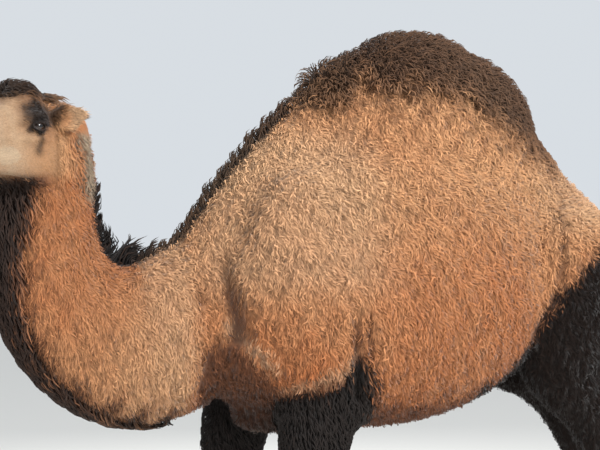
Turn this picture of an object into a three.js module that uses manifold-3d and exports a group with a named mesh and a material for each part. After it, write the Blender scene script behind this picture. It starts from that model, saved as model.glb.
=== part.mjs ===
// A standing one-humped camel in its winter coat, life size, in millimetres.
// +Z is up, the camel looks towards -Y and its left side is +X. Each solid is the outer shape of the coat.
// The body is one smooth field of rounded masses. Each sub-part is the piece of that field between thin
// flat cuts, and what is not flesh (eyes, nails, hair masses) is a solid of its own.
import * as THREE from "three";
import { mergeVertices } from "three/addons/utils/BufferGeometryUtils.js";
import Module from "manifold-3d";

const wasm = await Module();
wasm.setup();

// Driving dimensions. Y is measured from the left forefoot, and the whole is centred at the end.
const GAP = 0.4;
const humpTop = 2230;
const humpMiddle = 445;
const bellyBottom = 934;
const bellyMiddle = 320;
const bellyWidth = 810;
const rumpEnd = 1185;
const legSpread = 195;
const kneeHeight = 560;
const hockHeight = 610;
const fetlockHeight = 175;
const headPivot = [58, -797, 1850];
const headYaw = 52;
const headPitch = 5;
const eyeRadius = 22;
const eyePlace = [80, -165, 16];
const earPlace = [74, -60, 40];
const earLength = 92;
// How far each foot stands ahead of (-) or behind (+) its plain place.
const foreStride = { left: 10, right: -215 };
const hindStride = { left: 0, right: 235 };

const at = (x, y, z) => new THREE.Vector3(x, y, z);
// Tipped about the side-to-side axis, then turned about the vertical, in degrees.
const spun = (tip, turn) => new THREE.Euler(THREE.MathUtils.degToRad(tip), 0, THREE.MathUtils.degToRad(turn), "ZYX");
const both = (make) => [make(1), make(-1)];
const ofSide = (sizes, side) => (side > 0 ? sizes.left : sizes.right);
const forefoot = (side) => ({ y: ofSide(foreStride, side) - 48, size: 1.06 });
const hindfoot = (side) => ({ y: ofSide(hindStride, side) + 984, size: 0.94 });

// ---- The field: negative inside the coat, positive outside ----

// A rounded mass with three half-sizes, tipped about the side-to-side axis and turned about the vertical.
function ball(centre, half, tip = 0, turn = 0) {
  const inverse = new THREE.Matrix4().makeRotationFromEuler(spun(tip, turn)).setPosition(...centre).invert();
  const [a, b, c] = half;
  const q = at(0, 0, 0);
  return (p) => {
    q.copy(p).applyMatrix4(inverse);
    const near = Math.hypot(q.x / a, q.y / b, q.z / c);
    const steep = Math.hypot(q.x / a / a, q.y / b / b, q.z / c / c);
    return steep < 1e-9 ? -Math.min(a, b, c) : (near * (near - 1)) / steep;
  };
}

// A tapering limb through points [x, y, z, radius]; width is its side-to-side size as a share of its depth.
function limb(points, width = 1) {
  return (p) => {
    let least = Infinity;
    for (let i = 0; i + 1 < points.length; i++) {
      const [ax, ay, az, ar] = points[i];
      const [bx, by, bz, br] = points[i + 1];
      const [dx, dy, dz] = [bx - ax, by - ay, bz - az];
      const along = (p.x - ax) * dx + (p.y - ay) * dy + (p.z - az) * dz;
      const t = THREE.MathUtils.clamp(along / (dx * dx + dy * dy + dz * dz), 0, 1);
      const away = Math.hypot((p.x - ax - t * dx) / width, p.y - ay - t * dy, p.z - az - t * dz);
      least = Math.min(least, away - ar - t * (br - ar));
    }
    return least;
  };
}

// Points [x, y, z, radius] spread along a smooth curve through a few stations.
function smoothStations(stations, steps) {
  const path = new THREE.CatmullRomCurve3(stations.map(([x, y, z]) => at(x, y, z)), false, "centripetal");
  const sizes = new THREE.SplineCurve(stations.map((s, i) => new THREE.Vector2(i, s[3])));
  return Array.from({ length: steps + 1 }, (_, i) => {
    const p = path.getPoint(i / steps);
    return [p.x, p.y, p.z, sizes.getPoint(i / steps).y];
  });
}

// One field from many, each melting into the others over its own distance. A cut melts away instead.
function melted(masses) {
  return (p) => {
    let d = Infinity;
    for (const { field, melt, cut } of masses) {
      const other = cut ? -field(p) : field(p);
      const sign = cut ? -1 : 1;
      const h = Math.max(melt - Math.abs(d - other), 0) / melt;
      d = sign * Math.min(sign * d, sign * other) - (sign * h * h * melt) / 4;
    }
    return d;
  };
}
const mass = (melt, ...fields) => fields.flat().map((field) => ({ field, melt }));
const hollow = (melt, ...fields) => fields.flat().map((field) => ({ field, melt, cut: true }));

// ---- Trunk, hump and neck ----

const barrel = () => melted([
  ...mass(60, both((s) => ball([s * 105, bellyMiddle, bellyBottom + 370], [bellyWidth / 2 - 105, 588, 370], 7))),
  ...mass(120, ball([0, bellyMiddle + 60, 1600], [330, 560, 300], -2)),
  ...mass(140, ball([0, -20, 1330], [255, 300, 350])),
  ...mass(100, both((s) => ball([s * 185, 5, 1420], [115, 170, 310], 10))),
  ...mass(90, both((s) => ball([s * 212, 70, 1160], [112, 150, 165], 10))),
  ...mass(110, limb(humpRidge, 0.66)),
  ...mass(40, ball([0, 145, 2035], [75, 100, 85], -10)),
]);

// The back climbs steeply from the neck, steps up once, and the hump is one long dome.
const humpRidge = [
  [0, -330, 1385, 120],
  [0, -200, 1490, 165],
  [0, 5, 1695, 195],
  [0, 150, 1850, 200],
  [0, 300, humpTop - 335, 268],
  [0, humpMiddle, humpTop - 345, 345],
  [0, 585, humpTop - 370, 312],
  [0, 750, 1715, 240],
  [0, 900, 1590, 215],
];

const hindquarters = () => melted([
  ...mass(150, ball([0, rumpEnd - 230, 1500], [225, 240, 240], -20)),
  ...mass(90, both((s) => ball([s * 175, rumpEnd - 215, 1440], [128, 190, 200], -10))),
  ...mass(90, both((s) => ball([s * 168, 935, 1225], [112, 205, 250], 14))),
]);

// The neck sinks from the shoulders into a deep bow and rises nearly upright to the head.
const neckStations = [
  [0, -50, 1400, 190],
  [0, -210, 1340, 218],
  [0, -350, 1262, 260],
  [4, -490, 1214, 262],
  [14, -640, 1260, 224],
  [28, -750, 1392, 192],
  [42, -790, 1570, 170],
  [52, -785, 1720, 161],
  [58, -782, 1830, 141],
];
// The mane stands up along the nape, tallest where the neck meets the back.
const maneStations = [
  [36, -636, 1710, 30],
  [22, -600, 1600, 44],
  [8, -556, 1510, 48],
  [0, -470, 1442, 38],
  [0, -370, 1495, 26],
];
const neck = () => melted([
  ...mass(1, limb(smoothStations(neckStations, 28), 0.68)),
  ...mass(50, limb(maneStations, 0.6)),
]);

// ---- Legs ----

// Moves a leg's stations fore or aft: little at the top, the whole stride at the foot.
function striding(points, stridden, top) {
  return points.map(([x, y, z, r]) => [x, y + stridden * (1 - (0.55 * Math.min(z, top)) / top), z, r]);
}

// A foot is a broad cushion with two toes and a cleft between them.
function footMasses(side, { y, size }) {
  const x = side * legSpread;
  const toe = (t) => ball([x + t * 42 * size, y - 64 * size, 31], [48 * size, 80 * size, 37], 5);
  return [
    ...mass(24, ball([x, y + 10, 32], [90 * size, 104 * size, 42])),
    ...mass(18, both(toe)),
    ...mass(34, limb([[x, y + 40 * size, 136, 40], [x, y - 62 * size, 50, 40]])),
    ...mass(44, ball([x, y + 14 * size, 66], [66 * size, 80 * size, 52])),
    ...hollow(12, ball([x, y - 146 * size, 56], [7, 56 * size, 60])),
  ];
}

function foreleg(side) {
  const x = side * legSpread;
  const stridden = ofSide(foreStride, side);
  const stations = striding([
    [x + side * 22, 85, 1110, 118],
    [x + side * 18, 30, 980, 118],
    [x + side * 12, 12, 860, 106],
    [x + side * 4, 8, 720, 78],
    [x, 0, kneeHeight + 40, 63],
    [x, -6, kneeHeight - 30, 59],
    [x, 6, kneeHeight - 120, 46],
    [x, 8, fetlockHeight + 110, 42],
    [x, 4, fetlockHeight, 49],
    [x, -22, fetlockHeight - 70, 45],
    [x, -34, 60, 52],
  ], stridden, 1150);
  return [
    ...mass(60, limb(smoothStations(stations, 30), 0.88)),
    ...footMasses(side, forefoot(side)),
  ];
}

function hindleg(side) {
  const x = side * legSpread;
  const stridden = ofSide(hindStride, side);
  const stations = striding([
    [x - side * 8, rumpEnd - 215, 1400, 168],
    [x + side * 4, 930, 1230, 165],
    [x + side * 18, 905, 1100, 130],
    [x + side * 22, 1000, 960, 100],
    [x + side * 12, 1062, 790, 74],
    [x, 1090, hockHeight + 30, 60],
    [x, 1098, hockHeight - 60, 49],
    [x, 1078, hockHeight - 200, 44],
    [x, 1052, fetlockHeight + 100, 41],
    [x, 1036, fetlockHeight, 47],
    [x, 1008, fetlockHeight - 70, 43],
    [x, 994, 60, 50],
  ], stridden, 1300);
  const heel = ball([x, 1122 + stridden * 0.72, hockHeight + 50], [38, 36, 66], 14);
  return [
    ...mass(60, limb(smoothStations(stations, 33), 0.8)),
    ...mass(30, heel),
    ...footMasses(side, hindfoot(side)),
  ];
}

const tailStations = [
  [0, rumpEnd - 70, 1545, 44],
  [0, rumpEnd + 14, 1500, 38],
  [0, rumpEnd + 30, 1380, 28],
  [0, rumpEnd + 22, 1240, 24],
  [0, rumpEnd + 10, 1110, 34],
  [0, rumpEnd + 2, 1000, 30],
  [0, rumpEnd, 920, 12],
];

// ---- Head, in its own frame: the pivot at the top of the neck, -Y towards the nose ----

function headMasses() {
  const [eyeX, eyeY, eyeZ] = eyePlace;
  return [
    ...mass(30, ball([0, -128, 48], [78, 96, 86])),
    ...mass(24, ball([0, -150, 105], [55, 78, 46], 6)),
    ...mass(60, ball([0, 0, -30], [90, 88, 105])),
    ...mass(40, limb([[0, -120, 48, 74], [0, -220, 33, 60], [0, -330, 10, 51], [0, -420, -6, 49]], 0.92)),
    ...mass(24, both((s) => ball([s * (eyeX - 22), eyeY + 4, eyeZ + 24], [42, 58, 30], 4, s * -8))),
    ...mass(24, both((s) => ball([s * (eyeX - 26), eyeY - 6, eyeZ - 34], [40, 70, 30], 8, s * -8))),
    ...mass(40, both((s) => ball([s * 56, -86, -48], [44, 88, 92], 18, s * -5))),
    ...mass(40, both((s) => limb([[s * 46, -110, -98, 46], [s * 36, -250, -84, 37], [s * 28, -385, -72, 31]], 0.8))),
    ...mass(36, ball([0, -250, -48], [56, 150, 58], 4)),
    ...mass(26, ball([0, -438, -14], [57, 60, 50], 12)),
    ...mass(20, both((s) => ball([s * 26, -466, -32], [36, 40, 46], 8))),
    ...mass(24, ball([0, -420, -80], [42, 58, 29], -6)),
    ...hollow(10, ball([0, -545, -52], [5, 60, 40])),
  ];
}

const headMatrix = new THREE.Matrix4()
  .makeRotationFromEuler(spun(headPitch, headYaw))
  .setPosition(...headPivot);
const toHead = headMatrix.clone().invert();

const headOnly = melted(headMasses());
const headPoint = at(0, 0, 0);
const bodyField = melted([
  ...mass(1, barrel()),
  ...mass(60, neck()),
  ...mass(30, hindquarters()),
  ...mass(100, ball([0, -20, 985], [95, 150, 68], 8)),
  ...foreleg(1),
  ...foreleg(-1),
  ...hindleg(1),
  ...hindleg(-1),
  ...mass(60, (p) => headOnly(headPoint.copy(p).applyMatrix4(toHead))),
]);
const bodyPoint = at(0, 0, 0);
const bodyFromHead = (p) => bodyField(bodyPoint.copy(p).applyMatrix4(headMatrix));

// ---- From field to solid ----

// Cells are steps of size cell through the box from low to high, side-to-side, fore-and-aft and up.
// Each cell that the surface crosses holds one point, moved onto the surface, and the points are joined
// by four-sided faces. The box's own border counts as outside, which closes the surface there.
function netOf(field, low, high, cell) {
  const count = [0, 1, 2].map((i) => Math.ceil((high[i] - low[i]) / cell[i]) + 1);
  const placed = (i, j, k) => at(low[0] + i * cell[0], low[1] + j * cell[1], low[2] + k * cell[2]);
  const index = (i, j, k) => (k * count[1] + j) * count[0] + i;
  const value = new Float32Array(count[0] * count[1] * count[2]);
  for (let k = 0; k < count[2]; k++)
    for (let j = 0; j < count[1]; j++)
      for (let i = 0; i < count[0]; i++) {
        const border = [i, j, k].some((n, axis) => n === 0 || n === count[axis] - 1);
        const d = field(placed(i, j, k));
        value[index(i, j, k)] = border ? Math.max(d, cell[0] / 4) : d;
      }
  const positions = [];
  const pointOf = new Map();
  const corners = [0, 1, 2, 3, 4, 5, 6, 7].map((n) => [n & 1, (n >> 1) & 1, (n >> 2) & 1]);
  const edges = corners.flatMap((a, i) => corners.slice(i + 1).map((b) => [a, b])
    .filter(([p, q]) => Math.abs(p[0] - q[0]) + Math.abs(p[1] - q[1]) + Math.abs(p[2] - q[2]) === 1));
  for (let k = 0; k + 1 < count[2]; k++)
    for (let j = 0; j + 1 < count[1]; j++)
      for (let i = 0; i + 1 < count[0]; i++) {
        const sum = at(0, 0, 0);
        let crossings = 0;
        for (const [a, b] of edges) {
          const from = value[index(i + a[0], j + a[1], k + a[2])];
          const to = value[index(i + b[0], j + b[1], k + b[2])];
          if (from < 0 === to < 0) continue;
          sum.add(placed(i + a[0], j + a[1], k + a[2])
            .lerp(placed(i + b[0], j + b[1], k + b[2]), from / (from - to)));
          crossings++;
        }
        if (!crossings) continue;
        const point = settled(field, sum.divideScalar(crossings), Math.min(...cell) * 0.45);
        pointOf.set(index(i, j, k), positions.length / 3);
        positions.push(point.x, point.y, point.z);
      }
  const faces = [];
  const steps = [[1, 0, 0], [0, 1, 0], [0, 0, 1]];
  for (let k = 0; k + 1 < count[2]; k++)
    for (let j = 0; j + 1 < count[1]; j++)
      for (let i = 0; i + 1 < count[0]; i++)
        steps.forEach((step, axis) => {
          const inside = value[index(i, j, k)] < 0;
          if (inside === value[index(i + step[0], j + step[1], k + step[2])] < 0) return;
          const u = steps[(axis + 1) % 3];
          const v = steps[(axis + 2) % 3];
          const around = [[0, 0], [1, 0], [1, 1], [0, 1]].map(([a, b]) =>
            pointOf.get(index(i - a * u[0] - b * v[0], j - a * u[1] - b * v[1], k - a * u[2] - b * v[2])));
          const [a, b, c, d] = inside ? around : around.reverse();
          const across = (p, q) => Math.hypot(...[0, 1, 2].map((n) => positions[3 * p + n] - positions[3 * q + n]));
          faces.push(...(across(a, c) < across(b, d) ? [a, b, c, a, c, d] : [a, b, d, b, c, d]));
        });
  return new THREE.BufferGeometry()
    .setAttribute("position", new THREE.Float32BufferAttribute(positions, 3))
    .setIndex(faces);
}

// The point moved along the field's slope onto its surface, by at most reach.
function settled(field, start, reach) {
  const step = 1;
  const point = start.clone();
  const probe = at(0, 0, 0);
  for (let round = 0; round < 4; round++) {
    const here = field(point);
    const slope = at(
      field(probe.copy(point).setX(point.x + step)) - here,
      field(probe.copy(point).setY(point.y + step)) - here,
      field(probe.copy(point).setZ(point.z + step)) - here,
    ).divideScalar(step);
    const steep = Math.max(slope.lengthSq(), 0.05);
    point.addScaledVector(slope, -here / steep);
  }
  const moved = point.clone().sub(start);
  return start.clone().add(moved.clampLength(0, reach));
}

function solidOf(geometry, matrix = new THREE.Matrix4()) {
  const bare = new THREE.BufferGeometry().setAttribute("position", geometry.getAttribute("position").clone());
  if (geometry.index) bare.setIndex(geometry.index);
  const merged = mergeVertices(bare.applyMatrix4(matrix), 1e-3);
  return new wasm.Manifold(new wasm.Mesh({
    numProp: 3,
    vertProperties: new Float32Array(merged.attributes.position.array),
    triVerts: new Uint32Array(merged.index.array),
  }));
}

function geometryOf(solid) {
  const { vertProperties, triVerts, numProp } = solid.getMesh();
  const positions = new Float32Array((vertProperties.length / numProp) * 3);
  for (let i = 0; i < positions.length / 3; i++)
    positions.set(vertProperties.subarray(i * numProp, i * numProp + 3), i * 3);
  const made = new THREE.BufferGeometry()
    .setAttribute("position", new THREE.BufferAttribute(positions, 3))
    .setIndex(new THREE.BufferAttribute(new Uint32Array(triVerts), 1));
  made.computeVertexNormals();
  return made;
}

// ---- Cuts between the sub-parts ----

// A cut is a plane given by a point and the way it faces.
const cut = (point, facing) => ({ point: at(...point), facing: at(...facing).normalize() });
const turned = ({ point, facing }) => ({ point, facing: facing.clone().negate() });

const shoulderCut = cut([0, -290, 1300], [0, 0.97, 0.2]);
const bowCut = cut([0, -600, 1240], [0, 0.96, -0.27]);
const throatCut = cut([0, -775, 1540], [0, 0.15, -1]);
const headCuts = [cut([0, 40, 100], [0, 0.9, -0.43]), cut([0, 0, -168], [0, 0, -1])];
const humpCut = cut([0, 400, 1735], [0, 0.03, -1]);
const floorCut = cut([0, 0, 0], [0, 0, -1]);
const thighTop = cut([0, 900, 1290], [0, -0.12, 1]);
const thighFront = cut([0, 735, 1120], [0, -0.9, 0.42]);
const level = (z) => cut([0, 0, z], [0, 0, 1]);
const inner = (side, x) => cut([side * x, 0, 1000], [-side, 0, 0]);
const forelegCuts = (side) => [
  cut([0, 40, 1030], [0, -0.1, 1]),
  inner(side, 92),
  cut([0, 190 + ofSide(foreStride, side) * 0.5, 1000], [0, 1, 0]),
];
const hindlegCuts = (side) => [thighTop, inner(side, 12), thighFront];

// The solid behind a cut is a large box, moved forward by shift.
function behind({ point, facing }, shift) {
  const reach = 4000;
  const spin = new THREE.Quaternion().setFromUnitVectors(at(0, 0, 1), facing);
  const centre = point.clone().addScaledVector(facing, shift - reach / 2);
  return solidOf(new THREE.BoxGeometry(reach, reach, reach), new THREE.Matrix4().compose(centre, spin, at(1, 1, 1)));
}
// What is left of a solid behind all of the cuts, half a gap short of each.
const keptBehind = (solid, cuts) => cuts.reduce((kept, c) => kept.intersect(behind(c, -GAP / 2)), solid);
const spaceBehind = (cuts) => cuts.map((c) => behind(c, GAP / 2)).reduce((a, b) => a.intersect(b));
const largest = (solid) => solid.decompose().sort((a, b) => b.volume() - a.volume())[0];

// ---- Colours of the sub-parts ----

const look = (color, roughness) => new THREE.MeshStandardMaterial({ color, roughness, metalness: 0 });
const fleece = look(0xb98559, 0.95);
const darkHair = look(0x4a3427, 0.95);
const shortHair = look(0xb08a66, 0.9);
const wetEye = look(0x1c120c, 0.08);
const horn = look(0x2b231d, 0.5);

const camel = new THREE.Group();

function add(name, solid, material) {
  const mesh = new THREE.Mesh(geometryOf(solid), material);
  mesh.name = name;
  camel.add(mesh);
  return solid;
}

// ---- Trunk, hump and neck ----

const netted = (low, high, cell) => solidOf(netOf(bodyField, low, high, cell));

function addTrunk() {
  let whole = netted([-480, -460, 840], [480, 1300, 2330], [90, 97, 90]);
  whole = keptBehind(whole, [turned(shoulderCut)]);
  for (const side of [1, -1]) {
    whole = whole.subtract(spaceBehind(forelegCuts(side)));
    whole = whole.subtract(spaceBehind(hindlegCuts(side)));
  }
  add("hump", keptBehind(whole, [humpCut]), fleece);
  return add("trunk", largest(keptBehind(whole, [turned(humpCut)])), fleece);
}

function addNeck() {
  const low = netted([-300, -960, 880], [330, -180, 1640], [63, 70, 70]);
  add("neck_base", keptBehind(low, [shoulderCut, turned(bowCut)]), fleece);
  add("neck_middle", keptBehind(low, [bowCut, turned(throatCut)]), fleece);
  const high = netted([-220, -1020, 1440], [330, -560, 2060], [50, 50, 58]);
  const skullSpace = spaceBehind(headCuts).transform(headMatrix.elements);
  add("neck_top", largest(keptBehind(high, [throatCut]).subtract(skullSpace)), fleece);
}

// ---- Head, ears and eyes, each made in the head's frame ----

const sphere = (centre, half, rings) =>
  solidOf(new THREE.SphereGeometry(1, 2 * rings, rings), new THREE.Matrix4().compose(at(...centre), new THREE.Quaternion(), at(...half)));

function addHead() {
  const whole = solidOf(netOf(bodyFromHead, [-150, -540, -200], [150, 110, 180], [32, 37, 32]));
  let skull = largest(keptBehind(whole, headCuts));
  const [x, y, z] = eyePlace;
  for (const side of [1, -1]) {
    const size = (r) => [r, r, r];
    add(side > 0 ? "eye_left" : "eye_right", sphere([side * x, y, z], size(eyeRadius), 6).transform(headMatrix.elements), wetEye);
    skull = skull.subtract(sphere([side * x, y, z], size(eyeRadius + GAP), 6));
  }
  for (const side of [1, -1]) {
    const outward = [side * GAP, 0, 0];
    const leaf = earSolid(side).subtract(skull).subtract(skull.translate(outward));
    add(side > 0 ? "ear_left" : "ear_right", largest(leaf).transform(headMatrix.elements), shortHair);
  }
  add("head", skull.transform(headMatrix.elements), shortHair);
}

// A short furry cup, narrow at its root, opening forwards.
function earSolid(side) {
  const [x, y, z] = earPlace;
  const out = (d, back, up) => [side * (x + d * earLength), y + back * earLength, z + up * earLength];
  const cup = melted([
    ...mass(20, limb([[...out(-0.2, 0, -0.05), 22], [...out(0.3, 0.1, 0.05), 28]])),
    ...mass(20, ball(out(0.44, 0.14, -0.02), [38, 23, 40], 0, side * 14)),
    ...mass(18, ball(out(0.82, 0.2, 0.08), [25, 14, 20], 0, side * 14)),
    ...hollow(8, ball(out(0.56, -0.08, -0.02), [30, 16, 27], 0, side * 14)),
  ]);
  const low = [side > 0 ? 40 : -230, -90, -28];
  return solidOf(netOf(cup, low, [low[0] + 190, 90, 112], [21, 14, 18]));
}

// ---- Legs, feet and nails ----

function addLeg(name, side, cuts, foot, joint, top) {
  const x = side * legSpread;
  const { y, size } = foot;
  const upper = netted([x - 210, y - 420, joint - 60], [x + 210, y + 420, top], [56, 62, 82]);
  const shank = netted([x - 130, y - 200, fetlockHeight - 60], [x + 130, y + 260, joint + 60], [36, 40, 74]);
  const pad = netted([x - 133, y - 197, -43], [x + 130, y + 200, fetlockHeight + 40], [40, 42, 36]);
  add(name + "_upper", largest(keptBehind(upper, [...cuts, turned(level(joint))])), fleece);
  add(name + "_shank", largest(keptBehind(shank, [level(joint), turned(level(fetlockHeight))])), shortHair);
  let sole = largest(keptBehind(pad.intersect(behind(floorCut, 0)), [level(fetlockHeight)]));
  for (const toe of [1, -1]) {
    const place = [x + toe * 42 * size, y - 130 * size, 24];
    add(`${name}_nail_${toe * side > 0 ? "outer" : "inner"}`, sphere(place, [16, 22, 17], 4), horn);
    sole = sole.subtract(sphere(place, [16 + GAP, 22 + GAP, 17 + GAP], 4));
  }
  add(name + "_foot", sole, shortHair);
}

function addTail() {
  const path = limb(smoothStations(tailStations, 16));
  const whole = solidOf(netOf(path, [-80, rumpEnd - 160, 840], [80, rumpEnd + 130, 1640], [27, 29, 62]));
  return whole;
}

const trunk = addTrunk();
addNeck();
addHead();
for (const side of [1, -1]) {
  const where = side > 0 ? "left" : "right";
  addLeg("foreleg_" + where, side, forelegCuts(side), forefoot(side), kneeHeight - 20, 1080);
  addLeg("hindleg_" + where, side, hindlegCuts(side), hindfoot(side), hockHeight - 60, 1330);
}
add("tail", addTail().subtract(trunk).subtract(trunk.translate([0, GAP, 0])), darkHair);

// ---- The whole, centred over the floor ----

const bounds = new THREE.Box3().setFromObject(camel);
const middle = bounds.getCenter(at(0, 0, 0));
camel.position.set(-middle.x, -middle.y, 0);

export default camel;
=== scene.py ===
import math

import bmesh
import bpy
import numpy as np
from mathutils import Euler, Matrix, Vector
from mathutils.kdtree import KDTree


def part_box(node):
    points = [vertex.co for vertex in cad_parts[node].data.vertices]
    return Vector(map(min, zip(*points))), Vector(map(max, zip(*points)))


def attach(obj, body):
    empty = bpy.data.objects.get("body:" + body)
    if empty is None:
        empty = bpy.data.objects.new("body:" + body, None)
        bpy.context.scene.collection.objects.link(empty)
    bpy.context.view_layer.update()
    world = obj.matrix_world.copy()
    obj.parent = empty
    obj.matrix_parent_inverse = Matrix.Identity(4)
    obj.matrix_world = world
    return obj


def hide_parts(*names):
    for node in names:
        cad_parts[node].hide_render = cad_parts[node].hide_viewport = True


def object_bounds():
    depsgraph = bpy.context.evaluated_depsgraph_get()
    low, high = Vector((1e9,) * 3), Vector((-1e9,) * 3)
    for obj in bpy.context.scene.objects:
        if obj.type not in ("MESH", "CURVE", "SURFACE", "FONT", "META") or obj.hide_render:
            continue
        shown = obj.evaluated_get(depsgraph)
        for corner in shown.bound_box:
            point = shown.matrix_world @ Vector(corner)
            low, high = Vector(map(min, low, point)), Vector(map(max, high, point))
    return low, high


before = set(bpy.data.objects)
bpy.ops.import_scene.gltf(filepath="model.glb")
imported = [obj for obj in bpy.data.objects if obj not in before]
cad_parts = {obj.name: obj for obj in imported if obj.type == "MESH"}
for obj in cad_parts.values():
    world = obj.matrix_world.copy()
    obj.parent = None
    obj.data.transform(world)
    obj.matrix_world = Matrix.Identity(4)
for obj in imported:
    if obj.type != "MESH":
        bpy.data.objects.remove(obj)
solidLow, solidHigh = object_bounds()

mm = 0.001


def rise(value, low, high):
    # 0 below low, 1 above high, and smooth between.
    t = np.clip((value - low) / (high - low), 0, 1)
    return t * t * (3 - 2 * t)


def fall(value, low, high):
    return 1 - rise(value, low, high)


def between(value, low, high, soft):
    return rise(value, low - soft, low + soft) * fall(value, high - soft, high + soft)


def lengths(v):
    return np.sqrt((v * v).sum(axis=-1))


def unit(v):
    v = np.asarray(v, float)
    return v / np.maximum(lengths(v), 1e-9)[..., None]


def turned(tip, turn):
    # Tipped about the side-to-side axis, then turned about the vertical, in degrees.
    return np.array(Euler((math.radians(tip), 0, math.radians(turn)), "XYZ").to_matrix())


def ripple(p, size, seed):
    # A soft random wave through space, about -1 to 1.
    draw = np.random.default_rng(seed)
    ways = unit(draw.normal(size=(7, 3))) * (draw.uniform(0.6, 1.5, 7) * 2 * math.pi / size)[:, None]
    return np.sin(p @ ways.T + draw.uniform(0, 2 * math.pi, 7)).sum(axis=1) / 3.2


body = {
    "humpTop": 2230, "humpMiddle": 445, "bellyBottom": 934, "bellyMiddle": 320, "bellyWidth": 810,
    "rumpEnd": 1185, "legSpread": 195, "kneeHeight": 560, "hockHeight": 610, "fetlockHeight": 175,
    "headPivot": (58, -797, 1850), "headYaw": 52, "headPitch": 5, "eyeRadius": 22, "eyePlace": (80, -165, 16),
    "earPlace": (74, -60, 40), "earLength": 92,
    "foreStride": {1: 10, -1: -215}, "hindStride": {1: 0, -1: 235},
}
slack = 95  # how far off the surface the shape is still exact
both = (1, -1)


class Mass:
    # A shape with a rough size, so that points far from it can be passed over.
    def __init__(self, field, centre, reach):
        self.field, self.centre, self.reach = field, np.asarray(centre, float), reach

    def __call__(self, p):
        return self.field(p)


def ball(centre, half, tip=0, turn=0):
    # An oval of three half sizes, tipped and turned.
    centre, half, spin = np.asarray(centre, float), np.asarray(half, float), turned(tip, turn)

    def field(p):
        q = (p - centre) @ spin
        near = lengths(q / half)
        steep = lengths(q / half ** 2)
        return near * (near - 1) / np.maximum(steep, 1e-6)

    return Mass(field, centre, half.max())


def limb(stations, width=1.0):
    # A tapering tube through [x, y, z, radius] stations. A width under 1 makes it narrower than it is deep.
    stations = np.asarray(stations, float)
    centre = (stations[:, :3].min(axis=0) + stations[:, :3].max(axis=0)) / 2
    reach = (lengths(stations[:, :3] - centre) + stations[:, 3]).max()

    def field(p):
        least = np.full(len(p), 1e6)
        for start, end in zip(stations[:-1], stations[1:]):
            run = end[:3] - start[:3]
            t = np.clip((p - start[:3]) @ run / (run @ run), 0, 1)
            away = p - start[:3] - t[:, None] * run
            away[:, 0] /= width
            least = np.minimum(least, lengths(away) - start[3] - t * (end[3] - start[3]))
        return least

    return Mass(field, centre, reach)


def eased(start, end, leave, arrive, w):
    # A cubic from start to end that leaves and arrives at the given rates.
    bend = 3 * (end - start) - 2 * leave - arrive
    return start + leave * w + bend * w ** 2 + (2 * (start - end) + leave + arrive) * w ** 3


def smoothStations(stations, steps):
    # Points [x, y, z, radius] along a smooth curve through a few stations.
    s = np.asarray(stations, float)
    path = np.vstack([2 * s[0] - s[1], s, 2 * s[-1] - s[-2]])[:, :3]
    size = np.concatenate([s[:1, 3], s[:, 3], s[-1:, 3]])
    made = []
    for step in range(steps + 1):
        place = step / steps * (len(s) - 1)
        k = min(int(place), len(s) - 2)
        w = place - k
        a, b, c, d = path[k:k + 4]
        before, here, after = (max(np.linalg.norm(v) ** 0.5, 1e-4) for v in (b - a, c - b, d - c))
        leave = ((b - a) / before - (c - a) / (before + here) + (c - b) / here) * here
        arrive = ((c - b) / here - (d - b) / (here + after) + (d - c) / after) * here
        ra, rb, rc, rd = size[k:k + 4]
        made.append([*eased(b, c, leave, arrive, w), eased(rb, rc, (rc - ra) / 2, (rd - rb) / 2, w)])
    return made


def mass(melt, *parts):
    # Shapes that melt into what came before over the given distance. A hollow is taken away instead.
    return [(melt, part, 1) for part in parts]


def hollow(melt, *parts):
    return [(melt, part, -1) for part in parts]


def twins(melt, centre, half, tip=0, turn=0):
    # The same ball on the left and on the right.
    x, y, z = centre
    return mass(melt, *[ball([side * x, y, z], half, tip, side * turn) for side in both])


def melted(masses):
    # One shape from many, each with its own sign and melting distance.
    solid = [part for _, part, sign in masses if sign > 0]
    low = np.min([part.centre - part.reach for part in solid], axis=0)
    high = np.max([part.centre + part.reach for part in solid], axis=0)

    def field(p):
        d = np.full(len(p), 1e6)
        for melt, part, sign in masses:
            near = np.flatnonzero(lengths(p - part.centre) < part.reach + melt + slack)
            if not len(near):
                continue
            here = d[near]
            other = sign * part(p[near])
            h = np.maximum(melt - np.abs(here - other), 0) / melt
            d[near] = sign * np.minimum(sign * here, sign * other) - sign * h * h * melt / 4
        return np.minimum(d, slack * 4)

    return Mass(field, (low + high) / 2, np.linalg.norm(high - low) / 2)


def barrel():
    middle, bottom, top = body["bellyMiddle"], body["bellyBottom"], body["humpTop"]
    bellyHalf = [body["bellyWidth"] / 2 - 105, 588, 370]
    # The back climbs steeply from the neck, steps up once, and the hump is one long dome.
    humpRidge = [
        [0, -330, 1385, 120], [0, -200, 1490, 165], [0, 5, 1695, 195], [0, 150, 1850, 200],
        [0, 300, top - 335, 268], [0, body["humpMiddle"], top - 345, 345], [0, 585, top - 370, 312],
        [0, 750, 1715, 240], [0, 900, 1590, 215],
    ]
    return melted([
        *twins(60, [105, middle, bottom + 370], bellyHalf, 7),
        *mass(120, ball([0, middle + 60, 1600], [330, 560, 300], -2)),
        *mass(140, ball([0, -20, 1330], [255, 300, 350])),
        *twins(100, [185, 5, 1420], [115, 170, 310], 10),
        *twins(90, [212, 70, 1160], [112, 150, 165], 10),
        *mass(110, limb(humpRidge, 0.66)),
        *mass(40, ball([0, 145, 2035], [75, 100, 85], -10)),
    ])


def hindquarters():
    end = body["rumpEnd"]
    return melted([
        *mass(150, ball([0, end - 230, 1500], [225, 240, 240], -20)),
        *twins(90, [175, end - 215, 1440], [128, 190, 200], -10),
        *twins(90, [168, 935, 1225], [112, 205, 250], 14),
    ])


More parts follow.
